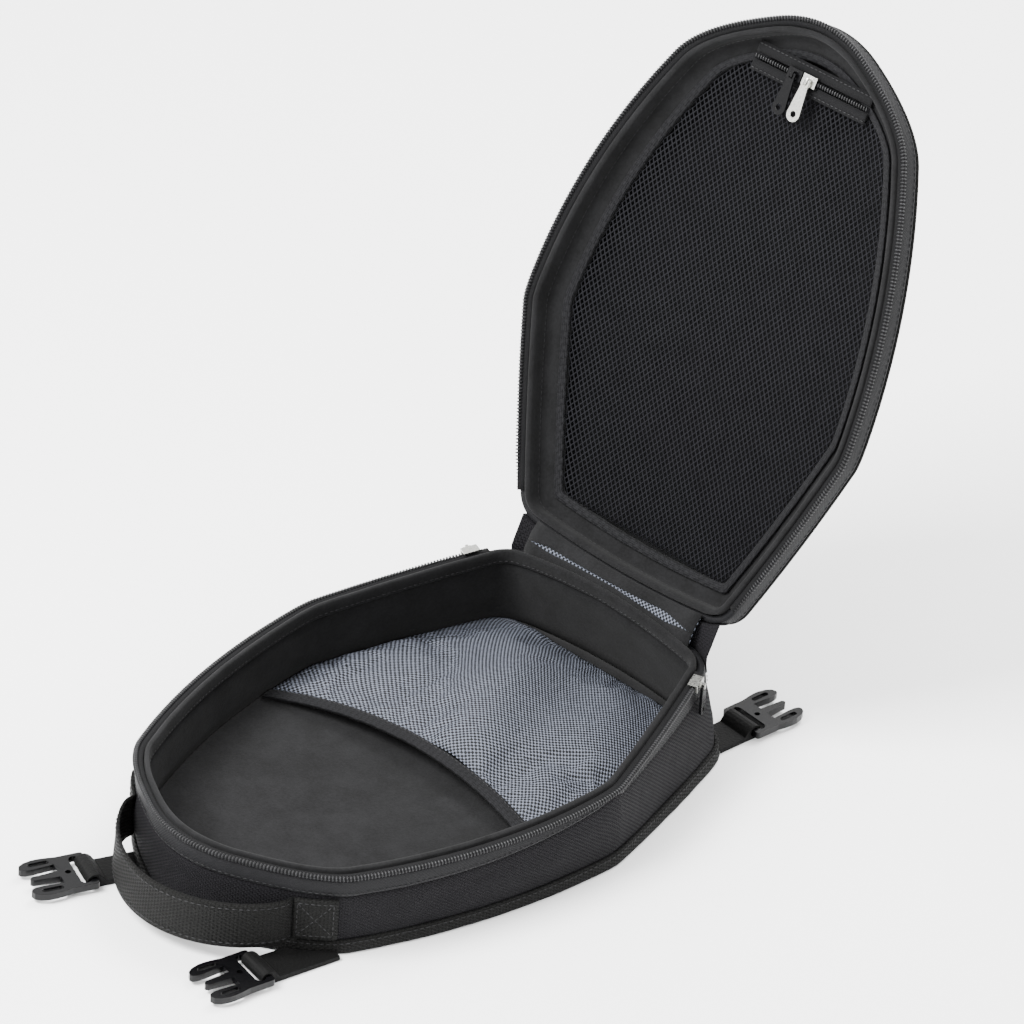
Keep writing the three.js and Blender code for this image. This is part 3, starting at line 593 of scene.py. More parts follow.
CORDURA = ("cordura", "woven polyester 1680D")
BAND = ("smooth_band", "woven polyester 600D")
WEBBING = ("webbing", "ribbed polypropylene webbing")
FELT = ("felt", "brushed tricot")
AIR_MESH = ("air_mesh", "knitted air mesh")
ELASTIC = ("elastic", "knitted elastic")
COIL = ("nylon_coil", "nylon coil teeth")
TAPE = ("zip_tape", "woven zip tape")

# ---- camera, floor and lights --------------------------------------------------------------


def set_stage():
    azimuth, elevation, roll = math.radians(41.93), math.radians(32.51), math.radians(4.13)
    target = Vector((14.6, 50.0, 155.7)) * MM
    distance_m = 2.9345
    back = Vector((
        math.sin(azimuth) * math.cos(elevation),
        -math.cos(azimuth) * math.cos(elevation),
        math.sin(elevation),
    ))
    right = (-back).cross(Vector((0, 0, 1))).normalized()
    up = right.cross(-back)
    turned = right * math.cos(roll) + up * math.sin(roll)
    upward = up * math.cos(roll) - right * math.sin(roll)
    data = bpy.data.cameras.new("camera")
    data.sensor_width = 36
    data.lens = 210.9
    data.clip_end = 100
    camera = bpy.data.objects.new("camera", data)
    place = Matrix((turned, upward, back)).transposed().to_4x4()
    place.translation = target + back * distance_m
    camera.matrix_world = place
    bpy.context.collection.objects.link(camera)
    bpy.context.scene.camera = camera

    bm = bmesh.new()
    bmesh.ops.create_grid(bm, x_segments=2, y_segments=2, size=30000)
    floor = keep("studio_floor", bm)
    material, _, shader = start_material("white studio floor", 0.9)
    shader.inputs["Base Color"].default_value = linear("#fbfbfb")
    floor.data.materials.append(material)

    world = bpy.data.worlds.new("studio")
    world.use_nodes = True
    world.node_tree.nodes["Background"].inputs["Color"].default_value = linear("#ffffff")
    world.node_tree.nodes["Background"].inputs["Strength"].default_value = 2.1
    bpy.context.scene.world = world

    # name, azimuth and elevation of the lamp as seen from the bag, distance, size, watts
    lamps = [
        ("key", -25, 50, 1.9, 0.9, 120),
        ("fill", 25, 30, 2.2, 1.4, 18),
        ("back", 190, 50, 2.2, 1.2, 80),
    ]
    for name, turn, lift, away, size, watts in lamps:
        lamp = bpy.data.lights.new(name, "AREA")
        lamp.energy = watts
        lamp.size = size
        holder = bpy.data.objects.new(name, lamp)
        turn, lift = math.radians(turn), math.radians(lift)
        way = Vector((
            math.sin(turn) * math.cos(lift), -math.cos(turn) * math.cos(lift), math.sin(lift)
        ))
        holder.location = Vector((0, 0.05, 0.12)) + way * away
        holder.rotation_euler = way.to_track_quat("Z", "Y").to_euler()
        bpy.context.collection.objects.link(holder)


# ---- base ----------------------------------------------------------------------------------

WIDE_PULL = 8.5  # how far the rim band narrows at the wide corners


def band_depth():
    """Depth of the rim band round the bag, narrow at the wide corners."""
    return 12.6 - WIDE_PULL * np.maximum(around(WIDE_LEFT), around(WIDE_RIGHT))


def between(low, high, share):
    return low * (1 - share) + high * share


def make_base_walls():
    depth = band_depth()
    ways = outward_of(plan())
    foot, head = ground_row(1.0, 5.3), rim_row(-0.2, depth + 0.3)
    steps = 13
    outer, inner, weights = [], [], []
    inner_foot, inner_head = ground_row(4.4, 5.3), rim_row(3.2, depth + 0.3)
    for k in range(steps + 1):
        share = k / steps
        row = between(foot, head, share)
        row[:, :2] += ways * (1.5 * math.sin(math.pi * share) ** 0.7 - 0.3)
        outer.append(row)
        inner.append(between(inner_foot, inner_head, share))
        weights.append(math.sin(math.pi * min(max(share, 0.04), 0.96)))
    outer = rippled(outer, 1.1, 34, 3.1, ways, weights)
    outer = rippled(outer, 0.45, 9, 8.7, ways, weights)
    strip_round("side_wall", [*outer, *reversed(inner)], "base", CORDURA, "base_side_wall")

    rows = []
    for share, inset in ((1, -0.5), (0.85, -0.95), (0.5, -1.05), (0.15, -0.95), (0, -0.6)):
        rows.append(rim_row(inset, lerp(3.5, depth, share)))
    rows = rippled(rows, 0.35, 18, 1.7, ways)
    rows.append(rim_row(3.2, 3.5 + 0 * depth))
    rows.append(rim_row(3.2, depth))
    strip_round("rim_band", rows, "base", BAND, "base_rim_band")
    out = flat_ways(plan())
    stitch_round("rim_band_stitching", rim_row(-1.35, depth - 1.7), out, "base")

    # Ribbed binding turned over the foot seam, a little wavy where the needle pulls it in.
    profile = [(0.4, 0.4), (-0.7, 0.5), (-1.25, 1.5), (-1.35, 4.2), (-1.3, 6.9), (-0.7, 8.2),
               (0.4, 8.3)]
    rows = [ground_row(inset, up) for inset, up in profile]
    rows = rippled(rows, 0.3, 11, 5.2, ways)
    strip_round("bottom_binding", rows, "base", WEBBING, "base_bottom_binding")
    stitch_round("bottom_binding_stitching", ground_row(-1.45, 6.6), out, "base")

    rows = [ground_row(3, 0), ground_row(1.6, 0.6), ground_row(1.1, 2.5), ground_row(1.0, 4.9)]
    inner = [ground_row(inset, 4.9) for inset in (20, 50)]
    under = [ground_row(inset, 0.0) for inset in (50, 20)]
    bm = grid([*under, *rows, *inner], loop=True, caps=True)
    piece = finish_piece(keep("bottom_panel", bm), "base", *CORDURA, "base_bottom_panel")


def make_base_lining():
    ways = outward_of(plan())
    depth = 0.6
    rows = [rim_row(3.7, 9.4), rim_row(5.7, 9.4)]
    weights = [0, 0.3]
    for share in (0.2, 0.4, 0.6, 0.8):
        rows.append(between(rim_row(5.9, 9.6), ground_row(7.0, CAVITY_FLOOR + 0.4), share))
        weights.append(1)
    rows.append(ground_row(7.0, CAVITY_FLOOR + 0.4))
    rows.append(ground_row(4.9, CAVITY_FLOOR + 0.4))
    rows.append(base_ring(4.6, 0.45, 0))
    weights += [0.3, 0, 0]
    rows = rippled(rows, depth, 22, 4.4, ways, weights)
    strip_round("wall_lining", rows, "base", FELT, "base_wall_lining")

    profile = [(3.6, 1.2), (4.1, 0.7), (5.1, 0.5), (6.1, 0.75), (6.6, 1.5), (6.85, 4.0),
               (6.7, 8.6), (6.3, 9.1), (3.7, 9.1)]
    rows = [rim_row(inset, down) for inset, down in profile]
    rows = rippled(rows, 0.25, 15, 6.1, ways)
    strip_round("rim_facing", rows, "base", FELT, "base_rim_facing")
    out = -flat_ways(plan())
    stitch_round("rim_facing_stitching", rim_row(6.95, 7.2), out, "base", 3.0)

    rows = [ground_row(4.9, 7.6), ground_row(4.9, CAVITY_FLOOR)]
    for inset in (12, 20, 30, 40, 50, 58):
        row = ground_row(inset, CAVITY_FLOOR)
        row[:, 2] += [0.25 * ripple(point, 16, 9.3) - 0.2 for point in row]
        rows.append(row)
    bm = grid(rows, loop=True)
    edges = [edge for edge in bm.edges if edge.is_boundary]
    bmesh.ops.holes_fill(bm, edges=edges, sides=0)
    bmesh.ops.triangulate(bm, faces=[face for face in bm.faces if len(face.verts) > 4])
    bmesh.ops.recalc_face_normals(bm, faces=bm.faces)
    finish_piece(keep("floor_lining", bm), "base", *FELT, "base_floor_lining")


TOOTH_PITCH = 1.75


def coil(name, rows, start, end, body, node, slot=COIL):
    """A nylon coil: a core strip with a rounded tooth every pitch. rows are its section."""
    part = [row[start : end + 1] for row in rows]
    ends = np.minimum(np.arange(end + 1 - start), np.arange(end + 1 - start)[::-1])
    core_share = 0.72 * np.clip(ends / (2 * DETAIL), 0.1, 1)[:, None]
    core = [between(sum(part) / len(part), row, core_share) for row in part]
    bm = grid(core, tube=True, caps=True)
    finish_piece(keep(name + "_core", bm), body, slot[0], "woven zip tape")
    centre = sum(part) / len(part)
    edge = part[3] - centre
    places = along_path(centre, edge, TOOTH_PITCH, 0.8)
    for k, place in enumerate(places):
        nearest = min(k, len(places) - 1 - k)
        places[k] = place @ Matrix.Scale(min(1, 0.3 + nearest / 14), 4)
    tooth = bead(1.25, 2.9, 3.3, 6, 4)
    piece = repeat(name, tooth, places)
    return finish_piece(piece, body, *slot, node)


def coil_rows(row, side):
    section = [(0, 1.2), (0, 3.1), (-2, 3.1), (-2.7, 1.8), (-2, 0.5), (-0.7, 0.5)]
    return [row(inset, side * high) for inset, high in section]


def make_zips():
    coil("rim_coil", coil_rows(rim_row, 1), AFTER_HINGE_CORNER, BEFORE_HINGE_CORNER,
         "base", "base_zip_coil")
    coil("lid_coil", coil_rows(lid_ring, 1), AFTER_HINGE_CORNER, BEFORE_HINGE_CORNER,
         "lid", "lid_zip_coil")
    for name, row, body, first, last in (
        ("rim_zip_tape", rim_row, "base", AFTER_HINGE_CORNER, BEFORE_HINGE_CORNER),
        ("lid_coil_tape", lid_ring, "lid", AFTER_HINGE_CORNER, BEFORE_HINGE_CORNER),
    ):
        section = [(-1.4, 1.6), (-1.4, 2.7), (3.2, 3.0), (3.2, 2.3)]
        rows = [row(inset, high)[first : last + 1] for inset, high in section]
        node = "base_zip_tape" if body == "base" else "lid_zip_tape"
        finish_piece(keep(name, grid(rows, tube=True, caps=True)), body, *TAPE, node)


# ---- floor pocket --------------------------------------------------------------------------

MOUTH_Y = TIP_Y + 142
MOUTH_BOW = 18
POCKET_REAR_Y = HINGE_Y + 1
HEM = 8


def half_width(ring, y):
    """Half the width of a ring at each y, on its right side."""
    right = ring[ring[:, 0] > 0]
    order = np.argsort(right[:, 1])
    return np.interp(y, right[order, 1], right[order, 0])


def pocket_sheet(start, end, rows, columns, level):
    """Rows across the floor pocket, bowed back in the middle as its mouth is."""
    floor_ring = ground_row(8.6, CAVITY_FLOOR + 0.3)
    across = np.linspace(-1, 1, columns)
    sides = 1 - across**2
    lines = []
    for straight in np.linspace(start, end, rows):
        along = min(max((straight - MOUTH_Y) / (POCKET_REAR_Y - MOUTH_Y), 0), 1)
        y = straight + MOUTH_BOW * sides * (1 - along)
        lift = 0.6 + 0.4 * math.sin(math.pi * along)
        z = CAVITY_FLOOR + 0.3 + 15 * sides * lift * (1 - along**4) + level
        lines.append(np.column_stack([across * half_width(floor_ring, y), y, z]))
    return lines


CLOTH_FRAMES = 22
CLOTH_SPARE = 0.035  # how much larger the mesh is cut than the place it is sewn into
CLOTH_MOST_MOVE = 3.5


def crumple_cloth(piece, pinned):
    """Lets a sheet pinned at its edges settle as cloth cut a little larger, and keeps the shape."""
    before = np.array([v.co for v in piece.data.vertices])
    group = piece.vertex_groups.new(name="pinned")
    group.add(pinned, 1.0, "REPLACE")
    cloth = piece.modifiers.new("cloth", "CLOTH")
    settings = cloth.settings
    settings.quality = 6
    settings.mass = 0.2
    settings.tension_stiffness = settings.compression_stiffness = 18
    settings.shear_stiffness = 8
    settings.bending_stiffness = 0.3
    settings.shrink_min = -CLOTH_SPARE
    settings.vertex_group_mass = "pinned"
    settings.pin_stiffness = 4
    settings.effector_weights.gravity = 0.0
    cloth.collision_settings.use_collision = False
    cloth.collision_settings.use_self_collision = False
    cloth.point_cache.frame_start, cloth.point_cache.frame_end = 1, CLOTH_FRAMES
    for step in range(1, CLOTH_FRAMES + 1):
        bpy.context.scene.frame_set(step)
    settle(piece)
    bpy.context.scene.frame_set(1)
    move = np.array([v.co for v in piece.data.vertices]) - before
    reach = np.linalg.norm(move, axis=1)
    move *= (np.minimum(reach, CLOTH_MOST_MOVE * MM) / np.maximum(reach, 1e-9))[:, None]
    for vert, spot in zip(piece.data.vertices, before + move):
        vert.co = spot
    piece.vertex_groups.clear()


def make_floor_pocket():
    start = MOUTH_Y + HEM + 0.3
    rows, columns = 54, 66
    lines = pocket_sheet(start, POCKET_REAR_Y, rows, columns, 0.5)
    folded = []
    for line in lines:
        moved = line.copy()
        for point in moved:
            along = (point[1] - start) / (POCKET_REAR_Y - start)
            ease = max(0, min(1, 6 * (1 - along)) * min(1, 5 * along + 0.1))
            # soft folds fan out from the rear towards the mouth
            fan = math.sin((point[0] + 0.35 * point[1]) / (9 + 8 * (1 - along)) + 0.6)
            point[2] += ease * (1 - (point[0] / 105) ** 2) * (
                2.7 * fan + 3.4 * ripple(point, 36, 2.2)
            )
        folded.append(moved)
    piece = keep("floor_mesh", grid(folded))
    pinned = [
        index for index in range(rows * columns)
        if index // columns in (0, rows - 1) or index % columns in (0, columns - 1)
    ]
    crumple_cloth(piece, pinned)
    for vert in piece.data.vertices:
        vert.co.z = max(vert.co.z, (CAVITY_FLOOR + 1.1) * MM)
    bpy.context.view_layer.update()
    thicken(piece, 0.8)
    finish_piece(piece, "base", *AIR_MESH, "floor_mesh_pocket")
    hem_lines = pocket_sheet(MOUTH_Y, MOUTH_Y + HEM, 7, columns, 0.8)
    hem_rows = []
    for k, line in enumerate(hem_lines):
        moved = line.copy()
        moved[:, 2] += 0.7 * math.sin(math.pi * k / 6)
        moved[:, 2] += [0.35 * ripple(point, 5, 7.7) for point in moved]
        hem_rows.append(moved)
    hem = keep("floor_mesh_hem", grid(hem_rows))
    thicken(hem, 1.5)
    finish_piece(hem, "base", *ELASTIC, "floor_pocket_hem")
    ways = np.tile([0.0, 0.0, 1.0], (columns, 1))
    line = hem_rows[5].copy()
    line[:, 2] += 0.8
    stitch_row("floor_mesh_hem_stitching", line, ways, "base", 3.0)


# ---- handle --------------------------------------------------------------------------------


STRAP_ENDS_IN = 3 * DETAIL
STRAP_WIDTH, STRAP_TOP = 24, 33.4
STRAP_NEAR, STRAP_THICK = 0.9, 2.4
STRAP_REACH, STRAP_SWELL, STRAP_SAG = 17, 0.6, 1.5
PATCH_LENGTH = 22
BOX_STITCH = [
    ((0.1, 0.1), (0.9, 0.1)), ((0.9, 0.1), (0.9, 0.9)), ((0.9, 0.9), (0.1, 0.9)),
    ((0.1, 0.9), (0.1, 0.1)), ((0.1, 0.1), (0.9, 0.9)), ((0.1, 0.9), (0.9, 0.1)),
]


def strap_faces(width, thick, out, sag, columns=11):
    """The inner and outer face of a strap round the base, its two edges rounded."""
    faces = []
    for near in (STRAP_NEAR, STRAP_NEAR + thick):
        rows = []
        for share in np.linspace(0, 1, columns):
            round_off = 0.35 * (abs(2 * share - 1) > 0.95)
            gap = near + (round_off if near == STRAP_NEAR else -round_off)
            row = base_ring(-gap, 0, STRAP_TOP - (STRAP_WIDTH - width) / 2 - width * share, out)
            row[:, 2] -= sag
            rows.append(row)
        faces.append(rows)
    return faces


def evenly(row, start, length, count):
    """Points spaced evenly along a row, from a start to start + length."""
    run = np.concatenate([[0], np.cumsum(np.linalg.norm(np.diff(row, axis=0), axis=1))])
    want = start + np.linspace(0, length, count)
    return np.column_stack([np.interp(want, run, row[:, axis]) for axis in range(3)])


def on_surface(surface, u, v):
    """A point of a grid of rows at shares u along the rows and v across them."""
    r, c = v * (len(surface) - 1), u * (len(surface[0]) - 1)
    r0, c0 = min(int(r), len(surface) - 2), min(int(c), len(surface[0]) - 2)
    low_pair = between(surface[r0][c0], surface[r0][c0 + 1], c - c0)
    high_pair = between(surface[r0 + 1][c0], surface[r0 + 1][c0 + 1], c - c0)
    return between(low_pair, high_pair, r - r0)


def make_handle():
    first, last = TIP_LEFT + STRAP_ENDS_IN, TIP_RIGHT - STRAP_ENDS_IN
    share = np.clip((np.arange(COUNT) - first) / (last - first), 0, 1)
    swing = np.sin(math.pi * share)
    reach = STRAP_REACH * swing**STRAP_SWELL
    ways = outward_of(plan())[first : last + 1]
    faces = []
    for rows in strap_faces(STRAP_WIDTH, STRAP_THICK, reach, STRAP_SAG * swing):
        face = []
        for row in rows:
            part = row[first : last + 1].copy()
            slack = np.sin(math.pi * np.linspace(0, 1, len(part)))
            # the lower edge swings out a little more than the upper one
            wave = np.array([ripple((*point[:2], 4 * point[2]), 55, 1.3) for point in part])
            tip = (STRAP_TOP - part[:, 2]) / STRAP_WIDTH
            part[:, :2] += ways * (slack * (1.0 * wave + 0.4 * tip))[:, None]
            face.append(part)
        faces.append(face)
    inner, outer = faces
    bm = grid([*outer, *reversed(inner)], tube=True, caps=True)
    finish_piece(keep("carry_strap", bm), "handle", *WEBBING, "carry_handle")
    level = np.column_stack([ways, np.zeros(len(ways))])
    for side, row in (("upper", 1), ("lower", len(outer) - 2)):
        line = outer[row] + level * 0.15
        stitch_row(f"carry_strap_stitching_{side}", line, level, "handle", 3.4)
    for side, at, step in (("left", first, -1), ("right", last, 1)):
        make_strap_patch(side, at, step)


def make_strap_patch(side, at, step):
    """The strap's sewn end: two layers of webbing held by a box of stitches."""
    count = 16
    picks = [at + step * k for k in range(4 * DETAIL)]
    faces = []
    for rows in strap_faces(STRAP_WIDTH - 1, STRAP_THICK, 0.0, 0.0):
        ring = [evenly(row[picks], 0.3, PATCH_LENGTH, count) for row in rows]
        faces.append(ring)
    near, far = faces
    for row, under in zip(far, near):
        row[-1] = between(under[-1], row[-1], 0.4)
        row[0] = between(under[0], row[0], 0.7)
    bm = grid([*near, *reversed(far)], tube=True, caps=True)
    piece = keep(f"strap_patch_{side}", bm)
    finish_piece(piece, "base", *WEBBING, f"handle_patch_{side}")
    middle = len(far) // 2
    normal = far[middle][count // 2] - near[middle][count // 2]
    places = []
    for a, b in BOX_STITCH:
        path = [on_surface(far, lerp(a[0], b[0], t), lerp(a[1], b[1], t))
                for t in np.linspace(0, 1, 9)]
        places += along_path(path, [normal] * 9, 3.0)
    piece = repeat(f"strap_patch_{side}_stitching", STITCH, places)
    finish_piece(piece, "base", "webbing", "bonded nylon thread")


# ---- hard parts taken from the CAD ---------------------------------------------------------


def soften(name, node, body, slot, material, radius=0.4, angle=35, segments=2):
    """A copy of a CAD node with its edges rounded."""
    bm = bmesh.new()
    bm.from_mesh(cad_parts[node].data)
    bmesh.ops.remove_doubles(bm, verts=bm.verts, dist=1e-6)
    bmesh.ops.dissolve_limit(bm, angle_limit=math.radians(1), verts=bm.verts, edges=bm.edges)
    sharp = [
        edge for edge in bm.edges
        if len(edge.link_faces) == 2 and edge.calc_face_angle(0) > math.radians(angle)
    ]
    bmesh.ops.bevel(bm, geom=sharp, offset=radius * MM, segments=segments, profile=0.5,
                    affect="EDGES", clamp_overlap=True, material=-1)
    bmesh.ops.triangulate(bm, faces=[face for face in bm.faces if len(face.verts) > 4])
    mesh = bpy.data.meshes.new(name)
    bm.to_mesh(mesh)
    bm.free()
    piece = bpy.data.objects.new(name, mesh)
    bpy.context.collection.objects.link(piece)
    return finish_piece(piece, body, slot, material, node)


def make_hard_parts():
    acetal, zinc = ("acetal", "moulded acetal"), ("plated_zinc", "nickel-plated zinc")
    for corner in ("front_left", "front_right", "rear_left", "rear_right"):
        soften(f"side_release_{corner}", f"buckle_{corner}", f"buckle_{corner}", *acetal, 0.7)
    for side in ("left", "right"):
        soften(f"rim_slider_{side}", f"main_zip_slider_{side}", "base", *zinc, 0.25)
        soften(f"rim_pull_{side}", f"main_zip_pull_{side}", f"main_pull_{side}", *acetal, 0.3)
    for side, finish in (("left", acetal), ("right", zinc)):
        soften(f"net_slider_{side}", f"pocket_zip_slider_{side}", f"pocket_slider_{side}",
               *finish, 0.25)
        soften(f"net_pull_{side}", f"pocket_zip_pull_{side}", f"pocket_pull_{side}",
               *finish, 0.25)


def make_tabs():
    """Webbing tabs keep their folded CAD shape, with rounded edges."""
    for corner in ("front_left", "front_right", "rear_left", "rear_right"):
        soften(f"strap_tab_{corner}", f"buckle_tab_{corner}", "base", *WEBBING, 0.25)


# ---- lid -----------------------------------------------------------------------------------

DOME = [(1.5, 14), (3.5, 18.5), (9.5, 25.5), (19.5, 31.8), (35, 36.8), (56, 39.5)]


def dome_profile(points, offset):
    """The dome's section moved inward by an offset, as a smooth run of [inset, height]."""
    knots = np.array(DOME, float)
    t = np.linspace(0, len(knots) - 1, points)
    fine = np.column_stack([np.interp(t, range(len(knots)), knots[:, k]) for k in range(2)])
    for _ in range(3):
        fine[1:-1] = (fine[:-2] + 2 * fine[1:-1] + fine[2:]) / 4
    way = np.gradient(fine, axis=0)
    way /= np.linalg.norm(way, axis=1)[:, None]
    return fine + offset * np.column_stack([way[:, 1], -way[:, 0]])


def weave_crown(bm, seam_height):
    """Lays the weave of the lid's crown panel straight, as it is cut from flat cloth."""
    layer = bm.loops.layers.uv.verify()
    closing = opening.inverted()
    for face in bm.faces:
        middle = closing @ face.calc_center_median()
        if middle.z - rim_height(middle.x, middle.y) > seam_height:
            for corner in face.loops:
                corner[layer].uv = (closing @ corner.vert.co).to_2d()


def make_lid_shell():
    outer = dome_profile(24, 0.0)
    outer[0] = (1.6, 14.3)
    inner = dome_profile(16, 5.2)
    inner[0] = (6.8, 14.3)
    rows = [lid_closed_ring(*pair) for pair in outer]
    ways = outward_of(plan())
    done = []
    for k, row in enumerate(rows):
        share = k / (len(rows) - 1)
        weight = math.sin(math.pi * min(share + 0.05, 1)) ** 0.6 if share < 0.9 else 0.5
        push = np.array([weight * (0.8 * ripple(point, 38, 3.3) + 0.3 * ripple(point, 10, 6.6))
                         for point in row])
        moved = row.copy()
        moved[:, 2] += push * share
        moved[:, :2] += ways * (push * (1 - share))[:, None]
        done.append(moved)
    shell_rows = [opened(row) for row in done]
    inner_rows = [opened(lid_closed_ring(*pair)) for pair in inner]
    bm = grid([*reversed(inner_rows), *shell_rows], loop=True, caps=True)
    weave_crown(bm, outer[9][1])
    piece = finish_piece(
        keep("lid_dome", bm), "lid", *CORDURA, "lid_shell", "lid_foam_core")
    # a seam line with its stitching, where the crown panel meets the sides
    line = done[9].copy()
    line[:, 2] += 0.5
    ways3 = turned(np.column_stack([ways * 0.6, np.full(COUNT, 0.8)]))
    path = opened(line)
    stitch_row("lid_dome_stitching", joined(path),
               joined(ways3), "lid", 3.2)


def make_lid_linings():
    profile = dome_profile(16, 6.4)
    profile[0] = (8.0, 14.6)
    deep = dome_profile(16, 7.4)
    deep[0] = (9.0, 14.6)
    rows = [lid_ring(*pair) for pair in profile]
    back = [lid_ring(*pair) for pair in deep]
    bm = grid([*reversed(back), *rows], loop=True, caps=True)
    finish_piece(keep("lid_inside", bm), "lid", *FELT, "lid_back_lining")

    ways = outward_of(plan())
    section = [(3.4, 1.2), (4.0, 0.7), (5.0, 0.5), (6.0, 0.75), (6.5, 1.5), (6.9, 5), (7.1, 8.6),
               (7.9, 10.4), (10, 11.3), (14.5, 11.9), (17.5, 12.2), (19.1, 12.6), (19.1, 13.4),
               (3.5, 13.4)]
    rows = []
    for k, (inset, height) in enumerate(section):
        row = lid_closed_ring(inset, height)
        if 4 < k < 11:
            row[:, 2] += [0.5 * ripple(point, 16, 2.9) for point in row]
        rows.append(opened(row))
    strip_round("lid_side_lining", rows, "lid", FELT, "lid_wall_lining")

    inward = turned(-np.column_stack([ways, np.full(COUNT, 0.2)]))
    stitch_round("lid_side_stitching", lid_ring(7.0, 8.0), inward, "lid", 3.0)

    section = [(14.6, 10.5), (15.2, 10.0), (16.8, 10.2), (18.4, 10.6), (19.0, 11.1), (18.8, 11.9),
               (16.8, 11.9), (14.6, 11.5)]
    rows = [lid_ring(inset, height) for inset, height in section]
    strip_round("net_binding", rows, "lid", ELASTIC, "mesh_pocket_binding")

    section = [(-0.7, 3.5), (-0.95, 5), (-1.0, 8), (-0.95, 12), (-0.7, 13.6), (2.9, 13.6),
               (2.9, 3.5)]
    rows = [lid_ring(inset, height) for inset, height in section]
    strip_round("lid_band", rows, "lid", BAND, "lid_rim_band")
    out = turned(np.column_stack([ways, np.zeros(COUNT)]))
    stitch_round("lid_band_stitching", lid_ring(-1.1, 12.2), out, "lid", 3.2)

    rows = []
    for k in range(10):
        angle = 2 * math.pi * k / 10
        rows.append(lid_ring(0.1 + 1.2 * math.cos(angle), 15.3 + 1.2 * math.sin(angle)))
    strip_round("lid_piping_cord", rows, "lid", WEBBING, "lid_piping")


NET_PITCH = 3.7
NET_INSET = 19.3
NET_TIP_Y, NET_HINGE_Y = TIP_Y + 24, HINGE_Y - 17.5


def net_height(x, y, start, end):
    ring = lid_closed_ring(NET_INSET, 0)
    half = half_width(ring, y)
    across = np.clip(x / half, -1, 1)
    along = np.clip((y - start) / (end - start), 0, 1)
    return rim_height(x, y) + 12.6 - 5 * (1 - across**2) * math.sin(math.pi * along)


def net_piece():
    start, end = NET_TIP_Y, NET_HINGE_Y
    ring = lid_closed_ring(NET_INSET, 0)
    bm = bmesh.new()
    step = NET_PITCH / math.sqrt(2)
    count = int(260 / step)
    bmesh.ops.create_grid(bm, x_segments=count, y_segments=count, size=count * step / 2)
    bmesh.ops.rotate(bm, matrix=Matrix.Rotation(math.pi / 4, 3, "Z"), verts=bm.verts)
    bmesh.ops.scale(bm, vec=(0.86, 1.16, 1), verts=bm.verts)
    bmesh.ops.translate(bm, vec=(0, (start + end) / 2, 0), verts=bm.verts)
    outside = []
    for face in bm.faces:
        spot = face.calc_center_median()
        if not start < spot.y < end or abs(spot.x) > half_width(ring, spot.y) - 0.4:
            outside.append(face)
    bmesh.ops.delete(bm, geom=outside, context="FACES")
    # knot is 1 at the net's crossings, which the net's material paints lighter as a painted
    # highlight
    knots = bm.verts.layers.float_color.new("knot")
    for vert in bm.verts:
        vert[knots] = (1, 1, 1, 1)
    made = bmesh.ops.inset_individual(bm, faces=bm.faces, thickness=step * 0.22, depth=0)
    threads_left = set(made["faces"])
    inner = [face for face in bm.faces if face not in threads_left]
    for face in inner:
        for vert in face.verts:
            vert[knots] = (0, 0, 0, 1)
    bmesh.ops.delete(bm, geom=inner, context="FACES")
    for vert in bm.verts:
        x, y = vert.co.x, vert.co.y
        knot = vert[knots][0]
        z = net_height(x, y, start, end) - 0.35 * knot + 0.4 * ripple((x, y, 0), 25, 4.0)
        vert.co = opened([[x, y, z]])[0]
    bmesh.ops.recalc_face_normals(bm, faces=bm.faces)
    piece = keep("net_panel", bm)
    thicken(piece, 0.7)
    finish_piece(piece, "lid", "net", "knotted polyester net", "mesh_pocket_net")
    return piece, start, end, ring


def make_lid_pocket():
    piece, start, end, ring = net_piece()


def make_pocket_zip():
    level_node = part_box("pocket_zip_coil")
    low, high = Vector(level_node[0]) / MM, Vector(level_node[1]) / MM
    span = high.x - low.x
    # in the closed lid the zip lies flat across it
    zip_y, half = TIP_Y + 21, span / 2
    level = rim_height(0, zip_y) + 7.7
    xs = np.linspace(-half, half, 60)
    flat = np.column_stack([xs, np.full(60, zip_y), np.full(60, level - 0.4)])
    centre = opened(flat)
    out = np.tile(np.array([0, 0, -1.0]) @ OPEN_TURN[:3, :3].T, (60, 1))
    piece = repeat("net_coil", bead(1.2, 3.0, 1.9, 6, 4), along_path(centre, out, 1.6, 0.4))
    finish_piece(piece, "lid", *COIL, "pocket_zip_coil")
    for name, side in (("net", 1), ("tip", -1)):
        rows = []
        for gap, lift in ((1.95, 0.0), (1.95, 0.75), (4.9, 0.9), (7.8, 0.75), (7.8, 0.0),
                          (4.9, -0.1)):
            row = flat.copy()
            row[:, 1] += side * gap
            row[:, 2] = level + lift
            rows.append(opened(row))
        bm = grid(rows, tube=True, caps=True)
        finish_piece(keep(f"net_coil_tape_{name}", bm), "lid", *TAPE, f"pocket_zip_tape_{name}")
        line = flat.copy()
        line[:, 1] += side * 6.4
        line[:, 2] = level - 0.25
        stitch_row(f"net_coil_tape_{name}_stitching", opened(line), out, "lid", 2.8)


# ---- hinge fabric --------------------------------------------------------------------------


def wrapped(ring, first, last):
    picks = [i % COUNT for i in range(int(first), int(last) + 1)]
    return ring[picks]


# Along the hinge from right to left: how much of the gap's height the mesh shows in. Black felt
# sheets of painted shade cover the rest.
MESH_SHOWS = [(0, 0), (0.1, 0), (0.13, 0.42), (0.25, 0.3), (0.5, 0.1), (0.8, 0.12), (0.91, 0.24),
              (0.95, 0), (1, 0)]


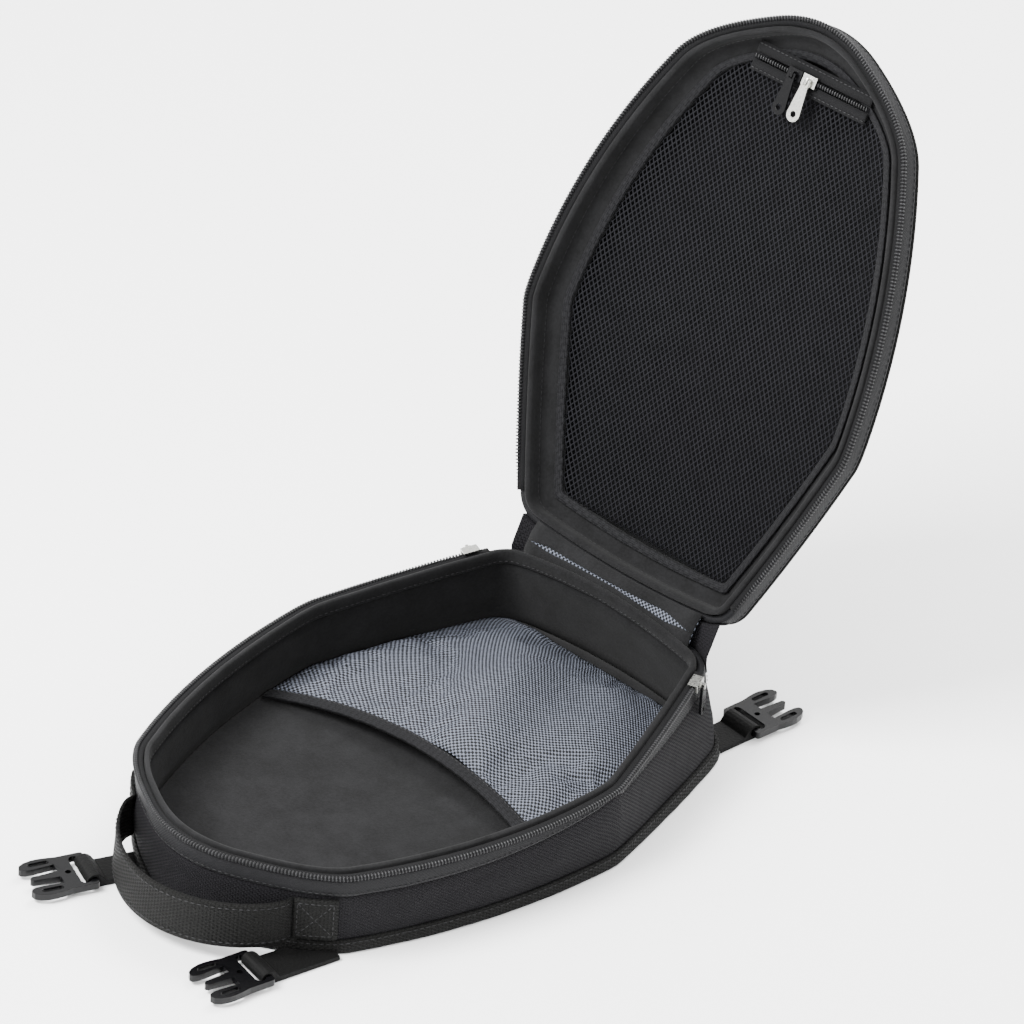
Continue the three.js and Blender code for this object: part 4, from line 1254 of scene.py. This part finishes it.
def make_hinge_shade_sheets(rows):
    """Black felt sheets laid over the hinge mesh where it lies in shade, as painted shade, leaving
    an uneven strip of the mesh showing.
    """
    gap = np.array(rows)
    count = gap.shape[1]
    along, shown = np.array(MESH_SHOWS).T
    half = np.interp(np.linspace(0, 1, count), along, shown) / 2
    half = np.convolve(np.pad(half, 1, "edge"), [0.25, 0.5, 0.25], "valid")
    for name, side in (("base", -1), ("lid", 1)):
        strip = []
        for share in np.linspace(0, 1, 7):
            outer, inner = 0.5 + side * 0.5, 0.5 + side * half
            at = lerp(outer, inner, share) * (len(gap) - 1)
            low = np.minimum(at.astype(int), len(gap) - 2)
            columns = np.arange(count)
            row = between(gap[low, columns], gap[low + 1, columns], (at - low)[:, None])
            row[:, 1] -= 1.0 + 0.5 * math.sin(math.pi * share)
            row[:, 1] += [0.3 * ripple(point, 9, 2.6) for point in row]
            strip.append(row)
        piece = keep(f"hinge_shade_sheet_{name}", grid(strip))
        thicken(piece, 0.8)
        settle(piece)
        finish_piece(piece, None, *FELT, "hinge_lining_mesh")
        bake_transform(piece)


def make_hinge():
    first, last = HINGE_RIGHT - 1.4 * DETAIL, COUNT + 1.4 * DETAIL
    cover = [
        wrapped(rim_row(-1.4, 10), first, last),
        wrapped(rim_row(-1.5, 5), first, last),
        wrapped(rim_row(-2.1, 1.0), first, last),
        wrapped(lid_ring(-2.1, 2.5), first, last),
        wrapped(lid_ring(-1.5, 6), first, last),
        wrapped(lid_ring(-1.4, 10), first, last),
    ]
    piece = keep("hinge_fold", grid(cover))
    thicken(piece, 0.8)
    settle(piece)
    finish_piece(piece, None, *CORDURA, "hinge_cover")
    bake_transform(piece)

    a = wrapped(rim_row(2.6, 2.6), HINGE_RIGHT, COUNT)
    b = wrapped(lid_ring(2.6, 2.2), HINGE_RIGHT, COUNT)
    rows = []
    for k in range(9):
        row = between(a, b, k / 8)
        row[:, 1] -= 2.4 * math.sin(math.pi * k / 8)
        rows.append(row)
    # black felt sheets as painted shade over the shaded parts of the hinge mesh
    make_hinge_shade_sheets(rows)
    rows = rows[1:-1]
    piece = keep("hinge_mesh", grid(rows))
    thicken(piece, 0.6)
    settle(piece)
    finish_piece(piece, None, *AIR_MESH, "hinge_lining_mesh")
    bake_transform(piece)


# ---- assembly ------------------------------------------------------------------------------

set_stage()
make_base_walls()
make_base_lining()
make_zips()
make_floor_pocket()
make_handle()
make_hard_parts()
make_tabs()
make_lid_shell()
make_lid_linings()
make_lid_pocket()
make_pocket_zip()
make_hinge()

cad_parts["base_floor_board"].data.materials.clear()
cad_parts["base_floor_board"].data.materials.append(MATERIALS["polyethylene board"])
